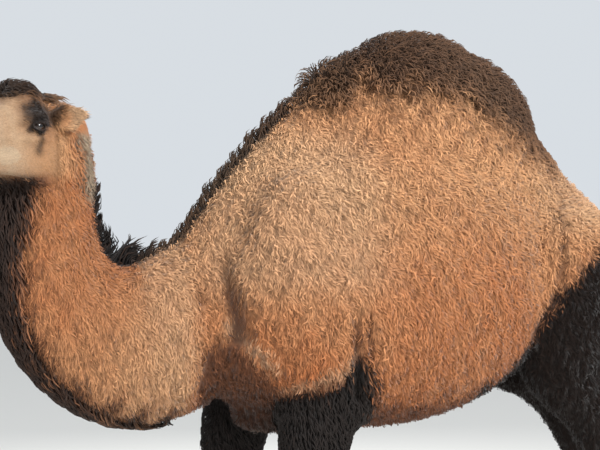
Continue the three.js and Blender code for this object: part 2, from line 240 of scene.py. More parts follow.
# The neck sinks from the shoulders into a deep bow and rises nearly upright to the head.
neckPath = smoothStations([
    [0, -50, 1400, 190], [0, -210, 1340, 218], [0, -350, 1262, 260], [4, -490, 1214, 262],
    [14, -640, 1260, 224], [28, -750, 1392, 192], [42, -790, 1570, 170], [52, -785, 1720, 161],
    [58, -782, 1830, 141],
], 28)


def striding(points, stride, top):
    # Little of the stride at the top of a leg, the whole of it at the foot.
    return [[x, y + stride * (1 - 0.55 * min(z, top) / top), z, r] for x, y, z, r in points]


def footMasses(side, y, size):
    x = side * body["legSpread"]
    return [
        *mass(24, ball([x, y + 10, 32], [90 * size, 104 * size, 42])),
        *mass(18, *[ball([x + toe * size, y - 64 * size, 31], [48 * size, 80 * size, 37], 5)
                    for toe in (42, -42)]),
        *mass(34, limb([[x, y + 40 * size, 136, 40], [x, y - 62 * size, 50, 40]])),
        *mass(44, ball([x, y + 14 * size, 66], [66 * size, 80 * size, 52])),
        *hollow(12, ball([x, y - 146 * size, 56], [7, 56 * size, 60])),
    ]


def forelegPath(side):
    x, knee, fetlock = side * body["legSpread"], body["kneeHeight"], body["fetlockHeight"]
    return smoothStations(striding([
        [x + side * 22, 85, 1110, 118], [x + side * 18, 30, 980, 118], [x + side * 12, 12, 860, 106],
        [x + side * 4, 8, 720, 78], [x, 0, knee + 40, 63], [x, -6, knee - 30, 59], [x, 6, knee - 120, 46],
        [x, 8, fetlock + 110, 42], [x, 4, fetlock, 49], [x, -22, fetlock - 70, 45], [x, -34, 60, 52],
    ], body["foreStride"][side], 1150), 30)


def foreleg(side):
    return [*mass(60, limb(forelegPath(side), 0.88)), *footMasses(side, body["foreStride"][side] - 48, 1.06)]


def hindleg(side):
    x, hock, fetlock = side * body["legSpread"], body["hockHeight"], body["fetlockHeight"]
    stride, end = body["hindStride"][side], body["rumpEnd"]
    stations = striding([
        [x - side * 8, end - 215, 1400, 168], [x + side * 4, 930, 1230, 165], [x + side * 18, 905, 1100, 130],
        [x + side * 22, 1000, 960, 100], [x + side * 12, 1062, 790, 74], [x, 1090, hock + 30, 60],
        [x, 1098, hock - 60, 49], [x, 1078, hock - 200, 44], [x, 1052, fetlock + 100, 41],
        [x, 1036, fetlock, 47], [x, 1008, fetlock - 70, 43], [x, 994, 60, 50],
    ], stride, 1300)
    heel = ball([x, 1122 + stride * 0.72, hock + 50], [38, 36, 66], 14)
    return [
        *mass(60, limb(smoothStations(stations, 33), 0.8)),
        *mass(30, heel),
        *footMasses(side, stride + 984, 0.94),
    ]


tailStations = [[0, body["rumpEnd"] + behind, z, r] for behind, z, r in (
    (-70, 1545, 44), (14, 1500, 38), (30, 1380, 28), (22, 1240, 24), (10, 1110, 34), (2, 1000, 30),
    (0, 920, 12),
)]
tailField = limb(smoothStations(tailStations, 16))

# The head's own frame has its zero at the top of the neck and -Y towards the nose.
headSpin = turned(body["headPitch"], body["headYaw"])
headPivot = np.array(body["headPivot"], float)
eyeX, eyeY, eyeZ = body["eyePlace"]


def toHead(p):
    return (p - headPivot) @ headSpin


def fromHead(q):
    return np.asarray(q, float) @ headSpin.T + headPivot


def headMasses():
    return [
        *mass(30, ball([0, -128, 48], [78, 96, 86])),
        *mass(24, ball([0, -150, 105], [55, 78, 46], 6)),
        *mass(60, ball([0, 0, -30], [90, 88, 105])),
        *mass(40, limb([[0, -120, 48, 74], [0, -220, 33, 60], [0, -330, 10, 51], [0, -420, -6, 49]], 0.92)),
        *twins(24, [eyeX - 22, eyeY + 4, eyeZ + 24], [42, 58, 30], 4, -8),
        *twins(24, [eyeX - 26, eyeY - 6, eyeZ - 34], [40, 70, 30], 8, -8),
        *twins(40, [56, -86, -48], [44, 88, 92], 18, -5),
        *mass(40, *[limb([[s * 46, -110, -98, 46], [s * 36, -250, -84, 37], [s * 28, -385, -72, 31]], 0.8)
                    for s in both]),
        *mass(36, ball([0, -250, -48], [56, 150, 58], 4)),
        *mass(26, ball([0, -438, -14], [57, 60, 50], 12)),
        *twins(20, [26, -466, -32], [36, 40, 46], 8),
        *mass(24, ball([0, -420, -80], [42, 58, 29], -6)),
        *hollow(10, ball([0, -545, -52], [5, 60, 40])),
    ]


def earMasses(side):
    x, y, z = body["earPlace"]
    size = body["earLength"]

    def out(d, back, up):
        return [side * (x + d * size), y + back * size, z + up * size]

    cup = melted([
        *mass(20, limb([[*out(-0.2, 0, -0.05), 22], [*out(0.3, 0.1, 0.05), 28]])),
        *mass(20, ball(out(0.44, 0.14, -0.02), [38, 23, 40], 0, side * 14)),
        *mass(18, ball(out(0.82, 0.2, 0.08), [25, 14, 20], 0, side * 14)),
        *hollow(8, ball(out(0.56, -0.08, -0.02), [30, 18, 28], 0, side * 14)),
    ])
    return mass(14, cup)


# The lids are a thin shell round each eye.
headShape = melted([*headMasses(), *twins(12, [eyeX - 1, eyeY, eyeZ], [26.5, 28, 26.5])])
headMass = Mass(lambda p: headShape(toHead(p)), fromHead([0, -200, 0]), 420)
earShape = melted([*earMasses(1), *earMasses(-1)])
bodyShape = melted([
    *mass(1, barrel()),
    *mass(60, limb(neckPath, 0.68)),
    *mass(30, hindquarters()),
    *mass(100, ball([0, -20, 985], [95, 150, 68], 8)),
    *foreleg(1), *foreleg(-1), *hindleg(1), *hindleg(-1),
    *mass(60, headMass),
])


def leftOf(p):
    # Both sides laid over the left one.
    return np.stack([np.abs(p[:, 0]), p[:, 1], p[:, 2]], axis=1)


def nearestOn(path, p):
    # For each point: the path's nearest place, its radius there, how far along that is, and how far off.
    path = np.asarray(path, float)
    best, place = np.full(len(p), 1e9), np.zeros((len(p), 3))
    radius, share = np.zeros(len(p)), np.zeros(len(p))
    for i, (start, end) in enumerate(zip(path[:-1], path[1:])):
        run = end[:3] - start[:3]
        t = np.clip((p - start[:3]) @ run / (run @ run), 0, 1)
        at = start[:3] + t[:, None] * run
        away = lengths(p - at)
        closer = away < best
        best = np.where(closer, away, best)
        place[closer] = at[closer]
        radius = np.where(closer, start[3] + t * (end[3] - start[3]), radius)
        share = np.where(closer, (i + t) / (len(path) - 1), share)
    return place, radius, share, best


neckRun = np.gradient(np.asarray(neckPath)[:, :3], axis=0)


def underNeck(p):
    # -1 on the nape to 1 on the throat, with how far up the neck the point is, from 0 at the shoulder.
    place, radius, share, _ = nearestOn(neckPath, p)
    at = np.clip((share * (len(neckPath) - 1)).astype(int), 0, len(neckPath) - 1)
    run = unit(neckRun[at])
    under = np.stack([np.zeros(len(p)), -run[:, 2], run[:, 1]], axis=1)
    return ((p - place) * under).sum(axis=1) / radius, share


def woolRelief(p):
    # Lumps and upright crimps of matted wool, about -1 to 1, coarser and rounder up on the hump.
    high = rise(p[:, 2], 1650, 1850)
    crimps = ripple(p * (1, 1, 0.5), 34, 41) + 0.8 * ripple(p * (1, 1, 0.6), 19, 42)
    lumps = ripple(p, 52, 43) + 0.75 * ripple(p, 26, 44)
    return 0.62 * (crimps + (lumps - crimps) * high)


def reliefSlope(p, normal, step=3.0):
    # How the relief tilts the ground at each point, along the skin.
    here = woolRelief(p)
    slope = np.stack([woolRelief(p + np.eye(3)[i] * step) - here for i in range(3)], axis=1) / step
    return here, slope - normal * (slope * normal).sum(axis=1)[:, None]


coat = {
    "fleece": 15, "cap": 36, "face": 4, "crown": 18, "tail": 11, "ear": 4, "fold": 20,
    "legHeights": (0, 40, 175, 520, 680, 860, 1050), "legDepths": (0, 1.5, 3, 4, 7, 12, 15),
}


def headShares(p):
    # How much of a point is face, crown of the head, and ear.
    q = toHead(p)
    near = fall(lengths(p - fromHead([0, -200, 0])), 400, 440)
    # The face ends behind the jaw and below it, where the neck's long coat begins.
    jawBottom = np.interp(q[:, 1], (-480, -385, -250, -110), (-118, -122, -132, -158))
    isAhead = fall(q[:, 1] - 0.25 * np.maximum(q[:, 2] - 40, 0), -105, -45)
    face = near * isAhead * rise(q[:, 2] - jawBottom, -14, 12)
    crown = near * rise(q[:, 2] - 0.15 * np.abs(q[:, 0]), 92, 122) * between(q[:, 1], -250, 10, 24)
    ear = near * rise(np.abs(q[:, 0]), 92, 108) * rise(q[:, 1], -112, -92) * rise(q[:, 2], -20, 8)
    return q, face, crown, ear


def coatDepth(p):
    _, face, crown, _ = headShares(p)
    depth = np.interp(p[:, 2], coat["legHeights"], coat["legDepths"])
    depth += (coat["cap"] - coat["fleece"]) * rise(p[:, 2], 1880, 2020)
    depth += (coat["face"] - depth) * face
    depth += (coat["crown"] - depth) * crown
    return depth


def flesh(p):
    # The body without its coat, sunk a little further along the folds.
    return bodyShape(p) + coatDepth(p) + coat["fold"] * foldShares(p)


# The skin is the shape less the coat's depth. The ears and the tail have their own depths.
skinShape = melted([
    *mass(1, Mass(lambda p: flesh(p), [0, 200, 1100], 2200)),
    *mass(14, Mass(lambda p: earShape(toHead(p)) + coat["ear"], fromHead([0, -60, 40]), 250)),
    *mass(24, Mass(lambda p: tailField(p) + coat["tail"], tailField.centre, tailField.reach)),
])


# Lower edge of the dark cap, and the front edge of the dark hindquarters, as (Y, Z) places.
capEdge = ((-60, 1960), (111, 1972), (172, 1990), (208, 2070), (240, 2066), (290, 2018), (417, 2034),
           (567, 2018), (681, 1936), (882, 1840), (945, 1766))
thighEdge = ((640, 1060), (690, 1100), (773, 1228), (811, 1298), (856, 1360), (929, 1428), (970, 1473),
             (1075, 1560), (1130, 1630), (1400, 1680))
# The fleece ends over the forearm in a scalloped fringe.
fringeEdge = ((-260, 1130), (-142, 1095), (-92, 1055), (-16, 1068), (68, 1100), (97, 1158), (122, 1195),
              (200, 1240))
# The wool ends over the chest along this line, and the chest below it is painted brown as shade.
chestEdge = ((-330, 1190), (-262, 1215), (-233, 1229), (-182, 1150), (-141, 1115), (-92, 1075), (-16, 1070),
             (40, 1040))
# Folds where the coat parts: neck against shoulder, chest against arm, behind the arm, and barrel against
# rump, painted darker along them as shade. Each has its width at its start and end, and the line it follows.
folds = (
    (10, 27, ((190, -262, 1560), (200, -252, 1450), (203, -240, 1360), (205, -226, 1290), (200, -224, 1226))),
    (8, 15, ((198, -262, 1262), (177, -291, 1196), (154, -310, 1128), (124, -314, 1065))),
    (7, 12, ((200, -330, 1440), (195, -322, 1390), (190, -318, 1340))),
    (9, 19, ((383, 92, 1350), (385, 100, 1270), (378, 104, 1200), (366, 108, 1130), (341, 118, 1061))),
    (5, 8, ((380, 140, 1320), (378, 140, 1250), (370, 146, 1180))),
    (8, 12, ((173, 903, 1667), (228, 892, 1619), (293, 870, 1493), (302, 841, 1363), (295, 812, 1311),
             (285, 771, 1228))),
)
foldReach = 330  # mm from a fold's middle to where it is surely gone
# How far round the neck the throat's dark hair comes, at places from shoulder (0) to head (1).
throatEdge = ((0.22, 1.2), (0.3, 1.0), (0.4, 0.93), (0.55, 0.8), (0.68, 0.56), (0.8, 0.26), (0.92, 0.2))
markNames = ("red", "cream", "grey", "brown", "dark", "bare")


def edgeAt(edge, place):
    return np.interp(place, *np.transpose(edge))


def maneMiddle(up):
    # The mane sits a little to the left of the nape's middle as it nears the head.
    return 16 + 26 * rise(up, 0.5, 0.85)


def neckShare(p, q):
    # 1 on the neck, 0 on the trunk and on the head, which sits over the neck's top.
    onHead = fall(lengths(p - fromHead([0, -200, 0])), 400, 440) * rise(q[:, 2], -150, -110)
    onHead = onHead * fall(q[:, 1], -60, 10)
    onHead = np.maximum(onHead, rise(q[:, 2], 60, 90) * fall(q[:, 1], 40, 80))
    return fall(p[:, 1], -380, -300) * rise(p[:, 2], 880, 920) * (1 - onHead)


def foldShares(p):
    # 1 in the middle of a fold, 0 away from it. Depth under the coat hardly counts.
    squash = np.array((0.2, 1, 1))
    mirrored = leftOf(p)
    deepest = np.zeros(len(p))
    for narrow, wide, line in folds:
        near = np.flatnonzero(lengths(mirrored - np.mean(line, axis=0)) < foldReach)
        path = [[*(np.array(point) * squash), 1] for point in line]
        _, _, share, away = nearestOn(path, mirrored[near] * squash)
        width = (narrow + (wide - narrow) * share) * (1 + 0.25 * ripple(mirrored[near], 110, 31))
        deepest[near] = np.maximum(deepest[near], np.exp(-(away / width) ** 2) * rise(share, 0, 0.3))
    return deepest


def armShares(p):
    # How far each point is from the nearer foreleg's middle, in the leg's radii, and the fringe's height.
    nearest, edge = np.full(len(p), 1e6), np.zeros(len(p))
    for side in both:
        _, radius, _, away = nearestOn(forelegPath(side), p)
        shift = 0.45 * (body["foreStride"][side] - body["foreStride"][1])
        closer = away / radius < nearest
        edge = np.where(closer, edgeAt(fringeEdge, p[:, 1] - shift), edge)
        nearest = np.minimum(nearest, away / radius)
    return nearest, edge


def spot(p, place, half, wobble, low, high):
    # 1 inside an oval, fading out from low to high of its size, with a ragged edge.
    return fall(lengths((p - place) / half) + wobble, low, high)


# Places and half sizes of the marks on the head, in its own frame, and of the bare pads, in the body's.
spots = {
    "socket": ((80, -148, 52), (60, 70, 52)), "temple": ((84, -72, 52), (50, 34, 42)),
    "leftCheek": ((56, -290, -64), (60, 70, 32)), "rightCheek": ((-56, -290, -64), (60, 70, 32)),
    "chestPad": ((0, -25, 900), (80, 115, 60)), "kneePad": (40, 30, 56),
}


def markings(p, normal):
    # Shares from 0 to 1 of each colour over the plain fawn, one column for each of markNames.
    q, face, crown, ear = headShares(p)
    under, up = underNeck(p)
    x, y, z = p.T
    headX, headY, headZ = q.T
    broad, rough, fine = ripple(p, 420, 1), ripple(p, 95, 2), ripple(p, 34, 3)
    ragged = 0.6 * rough + 0.5 * fine
    isNeck = neckShare(p, q)
    nearFace = fall(lengths(q - (0, -150, 20)), 170, 210)
    # fold is 1 in a fold's middle, where the coat is painted dark and brown as shade.
    fold = foldShares(p)

    # The hump's cap and the thin crest down its front slope, and the mane on the nape.
    capZ = edgeAt(capEdge, y)
    cap = rise(z - capZ + 44 * ragged, -80, 56) * rise(y, -60, 30) * fall(y, 860, 1040)
    crest = fall(np.abs(x) + 7 * fine, 22, 50) * rise(normal[:, 2], 0.05, 0.3) * between(y, -430, 1020, 40)
    nape = isNeck * rise(-under + 0.1 * fine, 0.74, 0.9)
    mane = nape * fall(np.abs(x - maneMiddle(up)) + 8 * fine, 28, 50) * between(up, 0.24, 0.86, 0.04)
    # The throat's long hair and the neck's lower edge.
    throatFrom = edgeAt(throatEdge, up)
    throat = isNeck * rise(under + 0.13 * ragged - throatFrom, -0.1, 0.12)
    # The forearms, the thighs, the tail's end, and painted shade under the chest between the forelegs.
    armAway, fringe = armShares(p)
    isFore, isHind = fall(armAway, 1.2, 1.5), rise(y, 560, 600)
    # The dark of forearms and thighs is their dark hair, darkened further as painted shade.
    forearm = isFore * fall(z - fringe + 18 * ragged, -18, 10) * rise(z, 400, 600)
    thighZ = edgeAt(thighEdge, y)
    thigh = isHind * fall(z - thighZ + 22 * ragged, -24, 26) * rise(z, 470, 700)
    nearTail = fall(np.abs(x), 70, 95) * rise(z, 820, 860)
    tail = rise(y, 1150, 1190) * fall(z + 30 * ragged, 1230, 1420) * nearTail
    armpitShade = between(y, -300, 60, 20) * fall(z + 24 * ragged, 940, 1130) * (z > 800)
    # The eye's surround, the streak below it, the temple, the ear's upper edge, and painted shade in the
    # openings.
    mirrored = leftOf(q)
    eyeAway = lengths((mirrored - np.array(body["eyePlace"])) * (0.6, 1, 1))
    socket, temple = spots["socket"], spots["temple"]
    eyeRing = nearFace * spot(mirrored, *socket, 0.16 * ragged, 0.66, 1.12) * 0.96
    eyeRing = np.maximum(fall(eyeAway + 4 * fine, 26, 38), eyeRing)
    tear = face * np.exp(-((headY + 164 + 0.1 * headZ) / 14) ** 2) * between(headZ, -66, 10, 14)
    tear = tear * rise(mirrored[:, 0], 40, 60)
    earTop = ear * rise(headZ + 4 * fine, 74, 88) * 0.8
    temple = nearFace * spot(mirrored, *temple, 0.12 * ragged, 0.7, 1.2)
    # The mouth's line, the nostrils and the cleft are painted dark inside as shade.
    opening = fall(headY, -330, -310) * openingShares(q)
    dark = np.maximum.reduce([
        cap * 0.73, crest * 0.9, mane, throat * 0.92, forearm, thigh, tail, rise(crown, 0.05, 0.4) * 0.95,
        eyeRing, tear * 0.74, earTop, temple * 0.75, 0.45 * fold ** 2, 0.8 * armpitShade, 0.9 * opening,
    ])

    # A pale stripe of sun-bleached, dusty hair down the upper nape, and a greyer muzzle.
    stripAway = np.abs(x - 98 - 4 * rough)
    strip = isNeck * rise(-under, 0.4, 0.55) * rise(up + 0.01 * rough, 0.8, 0.84)
    strip = strip * fall(stripAway, 26, 34) * (1 - ear)
    muzzle = face * fall(headY + 12 * rough, -420, -360)
    grey = np.maximum(strip * 0.92, 0.35 * muzzle)

    # Brown round each dark mark, and painted shade: in the folds, in the wool's hollows, under the belly
    # and on the chest below the wool's edge.
    chestZ = edgeAt(chestEdge, y)
    chest = between(y, -318, 60, 14) * rise(z, 880, 900) * (1 - 0.6 * isNeck)
    # How strongly the wool's hollows are painted brown as shade, most up on the hump.
    hollowShade = 0.2 + 0.35 * rise(z, 1500, 1750) * rise(y, 0, 200)
    forehead = face * rise(headZ - 0.15 * np.abs(headX) + 7 * fine, 66, 98) * between(headY, -262, -40, 22)
    brown = np.maximum.reduce([
        rise(z - capZ + 50 * ragged, -150, 0) * rise(y, 60, 200) * fall(y, 860, 1100) * 0.5,
        isNeck * rise(under + 0.16 * ragged - throatFrom, -0.3, 0.02) * 0.8,
        isFore * fall(z - fringe + 24 * ragged, -10, 60) * rise(z, 300, 620) * 0.75,
        fold * 0.9,
        fall(woolRelief(p), -0.75, 0.05) * hollowShade * (1 - face) * rise(z, 700, 900),
        isHind * fall(z - thighZ + 30 * ragged, -10, 60) * rise(z, 330, 640) * 0.8,
        rise(y, 1140, 1180) * fall(z, 1380, 1500) * nearTail * 0.7,
        # Painted shade under the belly: browner at its bottom and wherever the skin faces down.
        fall(z + 18 * rough, 940, 1060) * rise(y, -40, 60) * fall(y, 640, 740) * 0.85,
        rise(-normal[:, 2] + 0.1 * rough, 0.55, 0.9) * between(z, 900, 1080, 30) * rise(y, -40, 60),
        nearFace * spot(mirrored, *socket, 0.14 * ragged, 0.85, 1.5) * 0.6,
        forehead * 0.6,
        strip * rise(stripAway + 5 * fine, 14, 26) * 0.8,
        # Painted shade on the chest below the wool's edge.
        fall(z - chestZ + 14 * ragged, -26, 12) * chest * 0.95,
        0.3 * fall(z + 12 * rough, 20, 90),
        0.26 * between(z + 30 * rough, 430, 700, 60),
    ])

    # The face is pale, and the sun has bleached the rump, the shoulder, the low neck and the coat's edges.
    cheeks = [spot(q, *spots[name], 0.1 * ragged, 0.7, 1.1) for name in ("leftCheek", "rightCheek")]
    earTip = ear * rise(np.abs(headX) + 6 * fine, 118, 146)
    paleFace = face * fall(headY + 14 * rough, -260, -130) * (0.62 + 0.12 * rough)
    shoulder = between(y, -330, 200, 110) * rise(z, 1300, 1450) * fall(z, 1800, 1950)
    cream = np.maximum.reduce([
        0.95 * (face * np.maximum(*cheeks)), 0.5 * earTip, paleFace,
        0.26 * rise(z, 1500, 1640) * rise(y, 760, 980) * (1 - cap),
        0.27 * shoulder,
        0.24 * (isNeck * fall(up, 0.3, 0.5)),
        0.34 * fall(z, 420, 620),
        0.4 * isFore * between(z - fringe + 20 * ragged, 4, 44, 14),
        0.4 * between(z - chestZ + 16 * ragged, 14, 62, 14) * between(y, -262, -120, 20),
    ])

    # Redder low down and on the upper neck, sandier on shoulder, hump and rump.
    heights = ((450, 0.08), (800, 0.5), (1000, 0.94), (1200, 0.66), (1450, 0.38), (1700, 0.14), (1900, 0.22))
    low = edgeAt(heights, z) + 0.2 * (between(y, 180, 760, 110) * between(z, 1180, 1720, 130))
    upNeck = edgeAt(((0.15, 0.3), (0.4, 0.44), (0.6, 0.74), (0.9, 0.76)), up)
    red = np.clip(low + (upNeck - low) * isNeck + 0.12 * broad + 0.08 * rough, 0, 1)
    red = red * (1 - 0.75 * face * fall(headY, -210, -110))

    # Bare hide shows on the lips, the chest pad and the knees.
    lips = face * fall(headY + 5 * fine, -478, -452) * between(headZ, -96, 2, 8)
    bare = np.maximum(0.55 * lips, spot(p, *spots["chestPad"], 0, 0.8, 1.05))
    for side in both:
        knee = (side * body["legSpread"], 0.79 * body["foreStride"][side] - 62, body["kneeHeight"] + 4)
        bare = np.maximum(bare, 0.85 * spot(p, knee, spots["kneePad"], 0.1 * rough, 0.75, 1.05))
    shades = {"red": red, "cream": cream, "grey": grey, "brown": brown, "dark": dark, "bare": bare}
    return np.stack([np.clip(shades[name], 0, 1) for name in markNames], axis=1)


def lieOf(p, normal):
    # The way the coat's tips point, along the skin.
    q, face, crown, ear = headShares(p)
    way = np.tile([0.0, 0.22, -1.0], (len(p), 1))
    way[:, 1] += 0.5 * np.maximum(normal[:, 2], 0)
    side, each = np.sign(q[:, 0]), np.ones(len(p))
    back, up = (np.interp(q[:, 1], (-225, -165), ends) for ends in ((-0.8, 0.75), (-0.2, 0.5)))
    headWays = (
        (face, (0.1 * side, each, -0.35 - 0.3 * rise(-q[:, 2], 20, 80))),
        # The crown's hair parts: ahead of the parting it falls over the forehead, behind it over the poll.
        (crown, (0.3 * side, back, up)),
        (ear, (side, 0.15 * each, -0.12 * each)),
    )
    for share, headWay in headWays:
        way += (unit(np.stack(headWay, axis=1) @ headSpin.T) - way) * share[:, None]
    way -= normal * (way * normal).sum(axis=1)[:, None]
    short = lengths(way) < 0.08
    way[short] = np.cross(normal[short], (1.0, 0.2, 0.1))
    return unit(way)


skinSizes = {
    "cell": 12.5,
    "settleSteps": 4, "longestStep": 12, "leastSlope": 0.15,
    "lidOpening": (20.5, 12.5), "gaze": (0.9, -0.4, 0.04), "eyeTilt": math.radians(8),
}


def unitSteps(axis):
    # A grid step along the axis and along the two that follow it.
    return [np.eye(3, dtype=int)[(axis + i) % 3] for i in range(3)]


def closeDiagonals(value):
    # Where a grid square is in and out by turns, the surface would touch itself, so a corner is filled.
    for _ in range(6):
        found = 0
        for axis in range(3):
            _, u, v = unitSteps(axis)
            inside = value < 0
            a, b, c, d = (
                inside[tuple(slice(i, n - m + i) for i, m, n in zip(corner, u + v, inside.shape))]
                for corner in (0 * u, u, u + v, v)
            )
            at = np.argwhere((a == c) & (b == d) & (a != b))
            at = np.where(inside[tuple(at.T)][:, None], at + u, at)
            value[tuple(at.T)] = -0.1
            found += len(at)
        if not found:
            return


def netOf(field, low, high, cell):
    # One point in each cell that the surface crosses, joined by four-sided faces. Blocks of cells that lie
    # well away from the surface are filled with their middle's value.
    block = 4
    low = np.asarray(low, float)
    blocks = np.ceil((np.asarray(high) - low) / (cell * block)).astype(int)
    grid = np.stack(np.meshgrid(*[np.arange(n) for n in blocks], indexing="ij"), axis=-1).reshape(-1, 3)
    middle = field(low + (grid * block + (block - 1) / 2) * cell)
    value = np.repeat(np.repeat(np.repeat(middle.reshape(blocks), block, 0), block, 1), block, 2)
    near = grid[np.abs(middle) < cell * block * 1.5]
    inner = np.stack(np.meshgrid(*[np.arange(block)] * 3, indexing="ij"), axis=-1).reshape(-1, 3)
    nodes = (near[:, None, :] * block + inner[None]).reshape(-1, 3)
    value[tuple(nodes.T)] = field(low + nodes * cell)

    closeDiagonals(value)
    inside = value < 0
    corners = [(i, j, k) for i in (0, 1) for j in (0, 1) for k in (0, 1)]
    shifted = [inside[i:i - 1 or None, j:j - 1 or None, k:k - 1 or None] for i, j, k in corners]
    mixed = np.logical_or.reduce(shifted) & ~np.logical_and.reduce(shifted)
    cells = np.argwhere(mixed)
    index = np.full(mixed.shape, -1)
    index[tuple(cells.T)] = np.arange(len(cells))
    total, count = np.zeros((len(cells), 3)), np.zeros(len(cells))
    for a in corners:
        for b in corners:
            if a < b and sum(abs(m - n) for m, n in zip(a, b)) == 1:
                start, end = value[tuple((cells + a).T)], value[tuple((cells + b).T)]
                crossed = (start < 0) != (end < 0)
                t = np.where(crossed, start / np.where(crossed, start - end, 1), 0)
                total += np.where(crossed[:, None], np.array(a) + t[:, None] * np.subtract(b, a), 0)
                count += crossed
    points = low + (cells + total / count[:, None]) * cell

    faces = []
    for axis in range(3):
        step, u, v = unitSteps(axis)
        first = inside[tuple(slice(0, n - s) for n, s in zip(inside.shape, step))]
        second = inside[tuple(slice(s, None) for s in step)]
        at = np.argwhere(first != second)
        around = [at, at - u, at - u - v, at - v]
        quad = np.stack([index[tuple(cell.T)] for cell in around], axis=1)
        outward = first[tuple(at.T)]
        faces.append(np.where(outward[:, None], quad, quad[:, ::-1]))
    return points, np.concatenate(faces)


def slopeOf(field, p, step=1.5):
    # The field's value and slope from four probes round each point.
    ways = np.array([[1, 1, 1], [1, -1, -1], [-1, 1, -1], [-1, -1, 1]], float)
    values = [field(p + way * step) for way in ways]
    slope = sum(value[:, None] * way for value, way in zip(values, ways)) / (4 * step)
    return sum(values) / 4, slope


def settled(field, p, rounds):
    for _ in range(rounds):
        value, slope = slopeOf(field, p)
        steep = np.maximum((slope * slope).sum(axis=1), skinSizes["leastSlope"])
        move = -slope * (value / steep)[:, None]
        far = np.maximum(lengths(move) / skinSizes["longestStep"], 1)
        p = p + move / far[:, None]
    return p


def subdivideWhere(mesh, isChosen, cuts):
    # Cuts the edges whose middles are chosen, in the body's frame.
    bm = bmesh.new()
    bm.from_mesh(mesh)
    bm.edges.ensure_lookup_table()
    middles = np.array([(e.verts[0].co + e.verts[1].co) / 2 for e in bm.edges])
    chosen = isChosen(middles)
    edges = [e for e, use in zip(bm.edges, chosen) if use]
    bmesh.ops.subdivide_edges(bm, edges=edges, cuts=cuts, use_grid_fill=True)
    bm.to_mesh(mesh)
    bm.free()


def pointsOf(mesh):
    p = np.empty(len(mesh.vertices) * 3)
    mesh.vertices.foreach_get("co", p)
    return p.reshape(-1, 3)


def nearHead(p):
    q = toHead(p)
    return ((q > (-230, -560, -190)) & (q < (230, 110, 220))).all(axis=1)


def nearFeatures(p):
    q = toHead(p)
    nearEye = lengths(leftOf(q) - np.array(body["eyePlace"])) < 40
    nearNose = (q[:, 1] < -395) & (q[:, 2] < 30)
    return nearEye | nearNose | (q[:, 1] < -320) & (np.abs(q[:, 2] + 60) < 22)


def nearLegs(p):
    return p[:, 2] < 640


# Where the mouth, the nostrils and the cleft of the upper lip run, in the head's frame for one side.
mouthLine = ((0, -505, -70), (20, -498, -72), (37, -465, -70), (45, -420, -66), (47, -375, -58),
             (46, -335, -50))
nostrilLine = ((15, -500, -24), (23, -500, -12), (33, -490, 0), (42, -472, 8), (47, -452, 8))
# Wrinkles of the nose and the lids, each with its depth.
faceFolds = (
    (((30, -448, 16), (44, -440, -10), (47, -430, -34)), 2.2), (((34, -428, 20), (47, -418, -8)), 2.2),
    (((70, -201, 14), (74, -195, -4), (84, -177, -18), (88, -155, -19)), 3.2),
    (((66, -197, 38), (80, -171, 52), (80, -141, 50)), 3.2),
    (((70, -193, -24), (82, -167, -32), (84, -141, -29)), 3.2),
)


def toLine(q, line, side):
    flipped = q * (side, 1, 1)
    path = [[*point, 1] for point in line]
    _, _, share, away = nearestOn(path, flipped)
    return away, share


# Soft rises and hollows of the face: place, half-size and how far out (+) or in (-), for one side.
faceForms = (
    ((72, -112, 72), (34, 32, 26), -8), ((62, -285, -34), (30, 62, 24), -6),
    ((80, -104, -84), (40, 54, 56), 4), ((36, -335, 34), (22, 62, 16), -4),
    ((66, -252, -14), (26, 62, 10), 3.5), ((82, -172, 50), (26, 38, 9), 7),
    ((84, -168, -18), (24, 28, 7), 4), ((40, -440, -40), (22, 30, 18), 4),
    ((30, -392, -92), (26, 40, 12), -3), ((0, -300, 52), (20, 90, 20), 3), ((0, -440, 34), (34, 34, 18), 4),
)


def groove(away, depth, width):
    return depth * np.exp(-(away / width) ** 2)


def welt(away, height, distance, width):
    return height * np.exp(-((away - distance) / width) ** 2)


def inCleft(q):
    # Where the cleft of the upper lip runs.
    return between(q[:, 2], -64, -20, 5) * fall(q[:, 1], -474, -455)


# Depths and widths in mm of what is cut into the face, and of the lips that stand up beside it.
cuts = {
    "mouth": (12, 4.2), "mouthLip": (3.5, 12, 6),  # a lip has its height, its distance and its width
    "nostril": (15, 3.2, 2.6), "nostrilLip": (4.5, 10, 4.5),  # a nostril is wider in its middle
    "foldWidth": 3.4, "cleft": (9, 2.8),
}


def carved(p):
    # How far the skin stands out (+) or sinks (-) for its forms, creases and openings.
    q = toHead(p)
    out = np.zeros(len(p))
    for side in both:
        for place, half, amount in faceForms:
            away = (q - np.array(place) * (side, 1, 1)) / half
            out += amount * np.exp(-(away * away).sum(axis=1)) * (0.5 if place[0] == 0 else 1)
        away, share = toLine(q, mouthLine, side)
        out -= groove(away, *cuts["mouth"]) * fall(share, 0.8, 1.0)
        out += welt(away, *cuts["mouthLip"]) * fall(share, 0.6, 1.0)
        away, share = toLine(q, nostrilLine, side)
        deep, narrow, flare = cuts["nostril"]
        out -= groove(away, deep, narrow + flare * np.sin(np.pi * share))
        out += welt(away, *cuts["nostrilLip"])
        for line, depth in faceFolds:
            away, share = toLine(q, line, side)
            out -= groove(away, depth, cuts["foldWidth"]) * np.sin(np.pi * np.clip(share, 0.02, 0.98)) ** 0.5
    return out - groove(q[:, 0], *cuts["cleft"]) * inCleft(q)


def openingShares(q, spread=0.0):
    # 1 in the mouth's line, the nostrils and the cleft, 0 away from them.
    most = groove(q[:, 0], 1, 4 + spread) * inCleft(q)
    for side in both:
        away, share = toLine(q, mouthLine, side)
        most = np.maximum(most, fall(away, 3.5 + spread, 8 + spread) * fall(share, 0.85, 1.0))
        away, _ = toLine(q, nostrilLine, side)
        most = np.maximum(most, fall(away, 5 + spread, 10 + spread))
    return most


